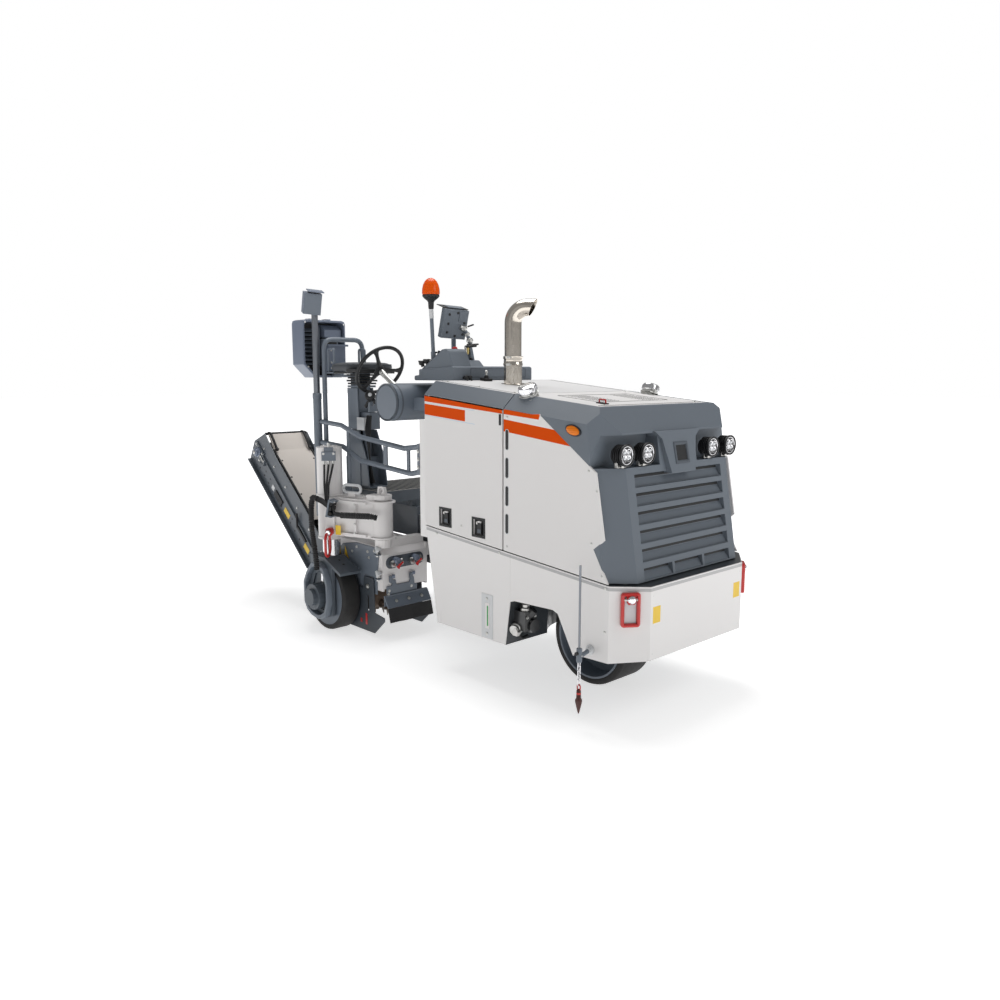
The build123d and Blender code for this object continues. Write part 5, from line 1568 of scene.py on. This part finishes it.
def armDetails():
    # plates, flange, bolts and lifting loop on the swinging casting
    arm = Piece("swing_arm_castings").use("white")
    top = 0.95
    along = Vector((0.436, 0.1315, 0)).normalized()
    beside = Vector((-along.y, along.x, 0))
    turn = Matrix((along, beside, (0, 0, 1))).transposed()
    origin = at(-0.064, -0.6035, top)
    for u, v, w, size in ((0.19, 0.03, 0.006, (0.24, 0.1, 0.012)),
                          (0.235, -0.085, -0.02, (0.3, 0.016, 0.016)),
                          (0.235, -0.085, -0.24, (0.3, 0.016, 0.016)),
                          (0.29, -0.08, -0.13, (0.016, 0.022, 0.216)),
                          (0.105, -0.088, -0.13, (0.014, 0.014, 0.216))):
        arm.box(origin + turn @ Vector((u, v, w)), size, turn)
    arm.box(at(0.32, -0.5, 1.012 - 0.045), (0.07, 0.08, 0.036), turn)
    arm.ringOf([(0.0, 0.074), (0.0, 0.09), (0.01, 0.09), (0.012, 0.074)], at(0.372, -0.472, 0.936),
               (0, 0, 1), 48)
    arm.ringOf([(0.0, 0.074), (0.0, 0.088), (0.01, 0.088), (0.012, 0.074)], at(0.372, -0.472, 0.693),
               (0, 0, 1), 48)
    arm.ringOf([(-0.002, 0.0895), (0.0, 0.0945), (0.012, 0.0945), (0.014, 0.0895)],
               at(-0.064, -0.6035, 0.952), (0, 0, 1), 56)
    arm.ringOf([(-0.002, 0.0885), (0.0, 0.0925), (0.016, 0.0925), (0.018, 0.0885)],
               at(-0.064, -0.6035, 0.652), (0, 0, 1), 56)
    arm.use("zinc")
    for u in (0.11, 0.175, 0.27):
        arm.bolt(origin + turn @ Vector((u, 0.03, 0.012)), (0, 0, 1), 0.009, 0.008)
    for w in (-0.03, -0.095, -0.165, -0.228):
        arm.bolt(origin + turn @ Vector((0.29, -0.0915, w)), -beside, 0.007, 0.007)
    cap = at(-0.064, -0.6035, 1.298)
    arm.bolt(cap, (0, 0, 1), 0.014, 0.012)
    for k in range(4):
        a = math.pi * (0.25 + 0.5 * k)
        arm.bolt(cap + Vector((math.cos(a) * 0.045, math.sin(a) * 0.045, -0.001)), (0, 0, 1), 0.006, 0.006)
    # lifting loop lying over the casting
    arm.use("plate")
    clevisRing(arm, at(0.145, -0.56, 1.012), 0.052, 0.15, 0.0105, (0, 0, 1), along, "plate")
    arm.use("white").box(at(0.145, -0.56, 0.973), (0.06, 0.02, 0.036), turn)
    arm.done("swing_arm", "panel_white", ease=0.003)

    shackle = Piece("column_shackle")
    clevisRing(shackle, at(0.06, -0.712, 0.632), 0.088, 0.16, 0.0095, (0.62, -0.78, 0), (0, 0, 1))
    shackle.use("red").spin([(0.0, 0.028), (0.04, 0.028), (0.046, 0.022)], at(0.036, -0.668, 0.718),
                            (0.6, -0.8, 0), 28)
    shackle.use("chrome").spin([(0.0, 0.021), (0.016, 0.021), (0.02, 0.017)], at(0.064, -0.705, 0.716),
                               (0.6, -0.8, 0), 6)
    shackle.use("white").box(at(0.03, -0.655, 0.7), (0.06, 0.04, 0.07))
    shackle.use("yellow").box(at(0.118, -0.662, 0.735), (0.046, 0.003, 0.066), turn)
    shackle.done("swing_arm", "red_paint", ease=0.0015)

    cap = Piece("left_column_cap").use("zinc")
    top = at(-0.064, 0.6035, 1.298)
    cap.bolt(top, (0, 0, 1), 0.014, 0.012)
    for k in range(4):
        a = math.pi * (0.25 + 0.5 * k)
        cap.bolt(top + Vector((math.cos(a) * 0.045, math.sin(a) * 0.045, -0.001)), (0, 0, 1), 0.006, 0.006)
    cap.use("white").ringOf([(-0.002, 0.0885), (0.0, 0.0925), (0.016, 0.0925), (0.018, 0.0885)],
                            at(-0.064, 0.6035, 0.652), (0, 0, 1), 56)
    cap.ringOf([(-0.002, 0.0885), (0.0, 0.0925), (0.012, 0.0925), (0.014, 0.0885)],
               at(-0.064, 0.6035, 0.868), (0, 0, 1), 56)
    for z in (0.72, 0.83):
        for x in (-0.13, 0.002):
            cap.use("zinc").bolt(at(x, 0.5005, z), (0, -1, 0), 0.009, 0.008)
    cap.done("machine", "panel_white", ease=0.002)


def housingDetails():
    unitTrim = Piece("milling_housing_fittings").use("white")
    # flared hinge cones with slate washers on the guard's front edge
    for z in (0.61, 0.444):
        unitTrim.use("plate").spin([(0.0, 0.026), (0.006, 0.026), (0.034, 0.01), (0.04, 0.009)],
                                   at(0.4, -0.525, z), (-0.25, -0.15, 0.35), 28)
        unitTrim.use("slate").spin([(0.0, 0.024), (0.005, 0.024), (0.006, 0.02)],
                                   at(0.392, -0.534, z - 0.026), (0, 0, 1), 24)
        unitTrim.use("zinc").bolt(at(0.392, -0.534, z - 0.026), (0, 0, -1), 0.011, 0.012)
        unitTrim.tube([at(0.392, -0.534, z - 0.03), at(0.392, -0.534, z + 0.016)], 0.007, sides=12)
    # window in the front sheet, drawn as a dark sunk plate with rounded ends that paints the shade inside the
    # opening
    loop = []
    for centre, start in ((-0.205, -math.pi / 2), (-0.44, math.pi / 2)):
        for n in range(13):
            a = start + math.pi * n / 12
            loop.append((centre + math.cos(a) * 0.043, 0.5235 + math.sin(a) * 0.043))
    unitTrim.use("slateDark").rings([[at(0.4085, y, z) for y, z in loop],
                                     [at(0.4125, y, z) for y, z in loop]])
    unitTrim.use("white")
    rim = []
    for y, z in loop:
        away = Vector((0, y + 0.3225, z - 0.5235))
        away.y = math.copysign(max(abs(away.y) - 0.1175, 0), away.y)
        rim.append((y, z, away.normalized()))
    rows = []
    for grow, x in ((0.0, 0.41), (0.0, 0.415), (0.006, 0.415), (0.006, 0.41)):
        rows.append([at(x, y, z) + away * grow for y, z, away in rim])
    unitTrim.rings(rows + [rows[0]], capped=False)
    # yellow corner mark on the guard, bolts and the long strap
    unitTrim.use("yellow").plate([(-0.03, 0.0), (0.048, 0.0), (-0.02, 0.13)], at(-0.01, -0.5165, 0.455),
                                 (1, 0, 0), (0, 0, 1), 0.0015)
    unitTrim.use("zinc")
    for x, z in ((0.12, 0.6), (0.25, 0.585), (0.265, 0.545), (0.33, 0.6), (0.3, 0.38), (0.06, 0.56)):
        unitTrim.bolt(at(x, -0.516, z), (0, -1, 0), 0.008, 0.006)
    for y, z in ((-0.47, 0.305), (-0.462, 0.33), (-0.275, 0.335), (-0.18, 0.285)):
        unitTrim.bolt(at(0.419, y, z), (1, 0, 0), 0.008, 0.006)
    for y in (-0.43, -0.325, -0.215):
        unitTrim.bolt(at(0.457, y, 0.264), (0.86, 0, 0.51), 0.009, 0.006)
    unitTrim.use("slate")
    for y in (-0.462, -0.292):
        unitTrim.box(at(0.424, y + 0.012, 0.41), (0.02, 0.02, 0.046))
        unitTrim.use("cabinet").spin([(0.0, 0.013), (0.02, 0.013)], at(0.426, y + 0.02, 0.43),
                                     (0.5, 0.8, 0), 16)
        unitTrim.use("slate")
    unitTrim.box(at(0.4225, -0.315, 0.295), (0.016, 0.34, 0.014))
    unitTrim.done("machine", "steel", ease=0.001, segments=1)

    valves = Piece("water_valves").use("cabinet")
    for y in (-0.405, -0.245):
        valves.use("cabinet").spin([(0, 0.023), (0.04, 0.023), (0.044, 0.018)], at(0.4125, y, 0.536),
                                   (1, 0, 0), 20)
        valves.use("steel").spin([(0, 0.02), (0.03, 0.02), (0.032, 0.015)], at(0.4125, y - 0.032, 0.512),
                                 (1, 0, 0), 6)
        valves.spin([(0, 0.018), (0.034, 0.018), (0.036, 0.013)], at(0.4125, y + 0.034, 0.52), (1, 0, 0), 6)
        valves.tube([at(0.428, y - 0.044, 0.524), at(0.428, y + 0.05, 0.532)], 0.013, sides=16)
        valves.use("chrome").spin([(0, 0.012), (0.024, 0.011), (0.028, 0.008)], at(0.43, y - 0.006, 0.5),
                                  (0.9, 0.1, -0.3), 18)
        valves.use("red").box(at(0.468, y + 0.002, 0.512), (0.008, 0.06, 0.013), Matrix.Rotation(0.5, 3, "X"))
        valves.box(at(0.466, y - 0.004, 0.5), (0.008, 0.014, 0.034), Matrix.Rotation(-0.4, 3, "X"))
    valves.done("machine", "steel", ease=0.0015, replaces=("valve_block",), segments=1)

    # rubber flap: a bent sheet with a wavy, worn foot
    flap = Piece("rubber_flap").use("rubber")
    rows = []
    for step in range(9):
        share = step / 8
        foreX, z = 0.4668 + 0.0248 * share, 0.22 - 0.094 * share
        row = []
        for n in range(61):
            y = -0.508 + 0.366 * n / 60
            wave = 0.0022 * math.sin(n * 0.19) + 0.001 * math.sin(n * 0.53 + 1.0)
            row.append(Vector((foreX - setOut["x"] + wave * share * 0.8, y, z + wave * share ** 2)))
        rows.append(row)
    normal = Vector((0.094, 0, 0.0248)).normalized() * 0.0078
    front = [[p + normal / 2 for p in row] for row in rows]
    back = [[p - normal / 2 for p in row] for row in rows]
    loops = [front[n] + back[n][::-1] for n in range(9)]
    flap.rings(loops)
    flap.done("machine", "rubber", replaces=("front_flap",))

    # red marks and adjusting bolts on the side plates
    for name, y, side in (("right", -0.53, -1), ("left", -0.115, 1)):
        marks = Piece(name + "_edge_plate_marks").use("red")
        marks.box(at(0.24, y + side * 0.0005, 0.11), (0.02, 0.002, 0.08))
        marks.box(at(0.178, y + side * 0.0005, 0.09), (0.018, 0.002, 0.028))
        for x in (-0.04, 0.261):
            marks.use("zinc").bolt(at(x, y, 0.345 if x > 0 else 0.29), (0, side, 0), 0.013, 0.01)
        marks.done(name + "_edge_plate", "red_paint")


armHoses()
legFittings()
armDetails()
housingDetails()
print("rear unit done")


# front corners, pointer, sight gauge, hydraulic unit and plates

def frontShackles():
    slant = math.atan2(0.59 - 0.416, 2.569 - 2.444)
    for name, side in (("right", -1), ("left", 1)):
        turnAngle = side * (math.radians(90) - slant)
        out = Vector((math.cos(turnAngle), math.sin(turnAngle), 0))
        beside = Vector((-out.y, out.x, 0))
        turn = Matrix((out, beside, (0, 0, 1))).transposed()
        face = at(2.5065, side * 0.503, 0.64)

        def on(u, v, w):
            return face + out * u + beside * v + Vector((0, 0, w))

        ring = Piece(name + "_front_shackle").use("red")
        # flat red frame with rounded corners, the thick bow inside it
        outline = []
        for cy, cz, start in ((0.034, 0.072, 0), (-0.034, 0.072, 90), (-0.034, -0.072, 180),
                              (0.034, -0.072, 270)):
            for n in range(7):
                a = math.radians(start + 15 * n)
                outline.append((cy, cz, math.cos(a), math.sin(a)))
        rows = []
        for grow, u in ((0.015, 0.003), (0.0155, 0.018), (0.012, 0.0235), (0.004, 0.025), (-0.001, 0.02),
                        (-0.002, 0.004)):
            rows.append([on(u, cy + c * grow, cz + s * grow) for cy, cz, c, s in outline])
        ring.rings(rows + [rows[0]], capped=False)
        ring.spin([(0.002, 0.03), (0.016, 0.03), (0.02, 0.026)], on(0, 0.004, 0.052), out, 6)
        ring.use("plate").box(on(0.0022, 0, -0.006), (0.003, 0.062, 0.13), turn)
        ring.use("chrome").spin([(0.01, 0.022), (0.028, 0.021), (0.034, 0.016), (0.036, 0.008)],
                                on(0, 0.004, 0.052), out, 28)
        ring.use("steel").tube([on(0.012, -0.036, 0.052), on(0.012, 0.042, 0.052)], 0.0095, sides=14)
        ring.done("machine", "red_paint", ease=0.001, replaces=("tow_shackles",) if side < 0 else (),
                  segments=1)

        plate = Piece(name + "_blank_front_plate").use("yellow")
        plate.box(at(2.5686, side * 0.366, 0.6), (0.0012, 0.062, 0.086))
        plate.use("zinc")
        for v, w in ((0.394, 0.7), (0.394, 0.4)):
            plate.screw(at(2.5646, side * v, w), (1, 0, 0), 0.0075)
        if side < 0:
            plate.screw(at(2.5646, 0.0, 0.386), (1, 0, 0), 0.0075)
        plate.done("machine", "panel_white")


def pointer():
    x, y = 2.33, -0.675
    rod = Piece("steering_pointer").use("pole")
    rod.tube([at(x, y, 0.425), at(x, y, 0.86)], 0.0058, sides=16)
    rod.use("slate").tube([at(x, y, 0.365), at(x, y, 0.436)], 0.0145, sides=24)
    rod.tube([at(x, y, 0.392), at(x, -0.592, 0.41)], 0.0115, sides=20)
    rod.use("plate").spin([(0.0, 0.026), (0.006, 0.026), (0.008, 0.022), (0.012, 0.0155), (0.022, 0.0155)],
                          at(x, -0.5905, 0.41), (0, -1, 0), 28)
    rod.use("plastic").tube([at(x, y - 0.014, 0.412), at(x, y - 0.026, 0.412)], 0.0095, sides=14)
    rod.use("zinc").tube([at(x - 0.02, y, 0.4), at(x + 0.02, y, 0.4)], 0.0035, sides=10)
    rod.done("machine", "steel", ease=0.0006, replaces=("pointer_rod",), segments=1)

    chain = Piece("pointer_chain_and_weight")
    for n in range(5):
        centre = at(x, y, 0.361 - 0.0255 * n)
        across = (1, 0, 0) if n % 2 else (0, 1, 0)
        clevisRing(chain, centre, 0.016, 0.036, 0.0026, across, (0, 0, 1), "chrome")
    clevisRing(chain, at(x, y, 0.232), 0.02, 0.03, 0.0034, (1, 0, 0), (0, 0, 1), "red")
    weight = [(0.0, 0.002), (0.01, 0.0055), (0.046, 0.0145), (0.066, 0.0185), (0.072, 0.0185),
              (0.084, 0.0125), (0.122, 0.0115)]
    chain.use("mark").spin(weight + [(0.126, 0.009), (0.13, 0.004)], at(x, y, 0.094), (0, 0, 1), 24)
    chain.use("red").spin([(0.0, 0.0122), (0.01, 0.0122)], at(x, y, 0.196), (0, 0, 1), 24)
    chain.done("machine", "red_paint", replaces=("pointer_weight",))


def tankDetails():
    for name, side in (("right", -1), ("left", 1)):
        face = side * 0.5905
        trim = Piece(name + "_skirt_fittings").use("plate")
        # sight gauge: a pale plate, its slot and the level line
        trim.box(at(1.553, face, 0.42), (0.094, 0.004, 0.258))
        trim.use("white").box(at(1.556, face + side * 0.002, 0.424), (0.034, 0.003, 0.15))
        trim.use("greenLine").box(at(1.559, face + side * 0.004, 0.424), (0.009, 0.003, 0.118))
        trim.use("zinc")
        for z in (0.318, 0.522):
            trim.screw(at(1.552, face + side * 0.002, z), (0, side, 0), 0.0095)
        for x, z in ((1.1, 0.84), (1.655, 0.806), (2.42, 0.52), (2.42, 0.745)):
            trim.screw(at(x, side * 0.5902, z), (0, side, 0), 0.0075)
        trim.done("machine", "panel_white", ease=0.0015)

        # black pump with silver collars, hung on the tank frame's face inside the wheel arch
        pump = Piece(name + "_arch_hydraulic_unit").use("fluid")
        y = side * 0.5
        pump.box(at(1.765, y, 0.43), (0.1, 0.09, 0.11))
        pump.box(at(1.752, y - side * 0.02, 0.505), (0.07, 0.06, 0.06))
        pump.spin([(-0.05, 0.044), (0.03, 0.044), (0.036, 0.038), (0.052, 0.038)],
                  at(1.775, y - side * 0.02, 0.4), (1, 0, 0), 28)
        pump.spin([(0, 0.026), (0.05, 0.026), (0.056, 0.02)], at(1.79, y, 0.45), (0.4, side * -0.3, 0.6), 22)
        pump.use("steel").spin([(0, 0.034), (0.022, 0.034), (0.026, 0.03), (0.026, 0.024), (0.042, 0.024)],
                               at(1.775, y, 0.478), (0, 0, 1), 28)
        pump.spin([(0, 0.03), (0.02, 0.03), (0.024, 0.026)], at(1.752, y + side * 0.045, 0.368),
                  (0, side, 0), 6)
        pump.use("zinc").spin([(0, 0.036), (0.016, 0.036), (0.02, 0.03), (0.034, 0.03)],
                              at(1.74, y + side * 0.034, 0.38), (0.25, side * 1.0, -0.2), 28)
        for n in range(3):
            pump.use("zinc").bolt(at(1.816, y - side * 0.03 + side * 0.03 * n, 0.455 - 0.03 * (n % 2)),
                                  (1, 0, 0), 0.007, 0.008)
        pump.use("rubber")
        for n in range(3):
            pump.tube([at(1.77 + 0.016 * n, y - side * 0.01 * n, 0.52),
                       at(1.772 + 0.016 * n, y - side * 0.04, 0.545 + 0.004 * n),
                       at(1.775, y - side * 0.12, 0.54)], 0.008, 0.02, 12)
        pump.tube([at(1.745, y + side * 0.028, 0.35), at(1.748, y + side * 0.01, 0.316),
                   at(1.73, y - side * 0.06, 0.312)], 0.01, 0.02, 12)
        pump.done("machine", "dark_plastic", ease=0.002)


def roofDetails():
    roof = Piece("roof_trim").use("plastic")
    tilt = Matrix.Rotation(math.atan(0.0955), 3, "Y")
    roof.box(at(2.236, 0, roofZ(2.236) + 0.0006), (0.004, 0.9, 0.0016), tilt)
    for x, y, long, wide in ((1.965, -0.3, 0.3, 0.003), (1.965, 0.3, 0.3, 0.003)):
        roof.box(at(x, y, roofZ(x) + 0.0006), (long, wide, 0.0014), tilt)
    for x in (1.815, 2.115):
        roof.box(at(x, 0, roofZ(x) + 0.0006), (0.003, 0.6, 0.0014), tilt)
    # air holes in the hatch, in two fields, drawn as black discs of painted shade
    for row in range(10):
        for n in range(9):
            for start in (-0.25, 0.11):
                spot = at(1.85 + 0.026 * row, start + 0.018 * n, roofZ(1.85 + 0.026 * row) + 0.0004)
                roof.spin([(0, 0.0048), (0.0009, 0.0044)], spot, (0.095, 0, 1), 6)
    roof.done("hood", "dark_plastic")

    rear = Piece("rear_roof_trim").use("plastic")
    x, y = 1.04, -0.13
    # lug on the roof's rear edge: a black wedge with a steel ball
    rear.box(at(x, y, roofZ(x) + 0.008), (0.05, 0.06, 0.018), tilt)
    rear.spin([(0, 0.017), (0.018, 0.013), (0.022, 0.008)], at(x, y, roofZ(x) + 0.014), (0, 0, 1), 20)
    rear.use("zinc").spin([(0, 0.006), (0.014, 0.006), (0.018, 0.01), (0.028, 0.01), (0.034, 0.005)],
                          at(x, y, roofZ(x) + 0.034), (0, 0, 1), 18)
    for x in (1.06, 1.34, 1.64):
        for y in (-0.46, 0.46):
            rear.screw(at(x, y, roofZ(x) + 0.0003), (0.095, 0, 1), 0.0075)
    rear.use("plastic")
    for y in (-0.475, 0.475):
        rear.box(at(1.34, y, roofZ(1.34) + 0.0005), (0.64, 0.0025, 0.0014), tilt)
    rear.done("machine", "dark_plastic", ease=0.0008, segments=1)


# conveyor, in its own plane: u up the belt, v square to it

def onBelt(u, v, y):
    slope = math.radians(41)
    return at(-0.25 - u * math.cos(slope) + v * math.sin(slope), y,
              0.14 + u * math.sin(slope) + v * math.cos(slope))


def conveyorDetails():
    up = Vector((-math.cos(math.radians(41)), 0, math.sin(math.radians(41))))
    normal = Vector((math.sin(math.radians(41)), 0, math.cos(math.radians(41))))
    turn = Matrix((up, (0, 1, 0), up.cross(Vector((0, 1, 0))))).transposed()
    trim = Piece("conveyor_trim").use("rubber")
    # edge strips on the cover, the head bar and its two bent straps
    for y in (-0.492, -0.168):
        trim.box(onBelt(0.93, 0.2705, y), (0.74, 0.012, 0.012), turn)
    trim.use("plastic").tube([onBelt(1.452, 0.298, -0.51), onBelt(1.452, 0.298, -0.15)], 0.011, sides=16)
    for y in (-0.48, -0.188):
        strap = [onBelt(1.458, 0.302, y), onBelt(1.43, 0.326, y), onBelt(1.36, 0.312, y),
                 onBelt(1.285, 0.288, y + 0.004)]
        trim.tube(strap, 0.01, 0.05, 12)
        trim.spin([(0, 0.015), (0.014, 0.013), (0.018, 0.008)], onBelt(1.285, 0.284, y + 0.004), normal, 16)
    for n in range(4):
        for y in (-0.47, -0.19):
            trim.spin([(0, 0.007), (0.003, 0.007), (0.004, 0.004)], onBelt(0.64 + 0.18 * n, 0.2675, y),
                      normal, 12)
    for y, side in ((-0.52, -1), (-0.14, 1)):
        out = Vector((0, side, 0))
        trim.use("plastic")
        for n in range(12):
            for v in (0.036, 0.08):
                trim.spin([(0, 0.0085), (0.0008, 0.008)], onBelt(0.4 + 0.085 * n, v, y + side * 0.0002),
                          out, 12)
        trim.box(onBelt(0.98, 0.058, y + side * 0.004), (0.13, 0.008, 0.052), turn)
        trim.box(onBelt(0.56, 0.112, y + side * 0.01), (0.15, 0.02, 0.02), turn)
        trim.tube([onBelt(0.63, 0.112, y + side * 0.018), onBelt(0.7, 0.19, y + side * 0.018)], 0.008,
                  sides=12)
        trim.use("yellow").box(onBelt(0.82, 0.058, y + side * 0.0012), (0.09, 0.0025, 0.044), turn)
        trim.box(onBelt(0.455, 0.06, y + side * 0.0012), (0.08, 0.0025, 0.044), turn)
        trim.use("plate").box(onBelt(1.09, 0.06, y + side * 0.0012), (0.04, 0.0025, 0.04), turn)
        trim.use("zinc")
        for u in (0.3, 0.52, 0.74, 0.96, 1.18, 1.38):
            trim.bolt(onBelt(u, 0.205, y + side * 0.0002), out, 0.007, 0.006)
        # head bearing: slotted plate, housing, tension screw
        trim.use("slateDark").box(onBelt(1.42, 0.13, y + side * 0.006), (0.15, 0.012, 0.1), turn)
        trim.use("cabinet").spin([(0.0, 0.04), (0.01, 0.04), (0.014, 0.032), (0.03, 0.03), (0.034, 0.022)],
                                 onBelt(1.42, 0.13, y + side * 0.01), out, 28)
        trim.use("steel").spin([(0, 0.016), (0.008, 0.016), (0.01, 0.01)],
                               onBelt(1.42, 0.13, y + side * 0.042), out, 6)
        trim.use("zinc").tube([onBelt(1.3, 0.13, y + side * 0.018), onBelt(1.38, 0.13, y + side * 0.018)],
                              0.007, sides=12)
        for u, v in ((1.365, 0.165), (1.365, 0.095), (1.478, 0.165), (1.478, 0.095)):
            trim.bolt(onBelt(u, v, y + side * 0.012), out, 0.008, 0.008)
        trim.use("slateDark").box(onBelt(1.29, 0.13, y + side * 0.012), (0.014, 0.024, 0.04), turn)
    # drive motor and its hoses at the head's far side
    trim.use("plastic").spin([(0.0, 0.046), (0.06, 0.046), (0.066, 0.038), (0.1, 0.036)],
                             onBelt(1.42, 0.13, -0.104), (0, 1, 0), 28)
    for n in range(2):
        trim.use("rubber").tube([onBelt(1.4 + 0.03 * n, 0.11, -0.04), onBelt(1.33, 0.05, -0.05 + 0.018 * n),
                                 onBelt(1.0, 0.02, -0.118 + 0.016 * n),
                                 onBelt(0.42, 0.02, -0.118 + 0.016 * n)], 0.008, 0.06, 10)
    trim.done("conveyor", "dark_plastic", ease=0.001, segments=1)

    belt = Piece("belt_cleats").use("belt")
    for n in range(12):
        u = 0.29 + 0.095 * n
        belt.box(onBelt(u, 0.1755 + 0.0246 * (u - 0.2) + 0.008, -0.33), (0.01, 0.27, 0.022), turn)
    belt.done("conveyor", "rubber", ease=0.003)


frontShackles()
pointer()
tankDetails()
roofDetails()
conveyorDetails()
print("front, tank, roof and conveyor details done")
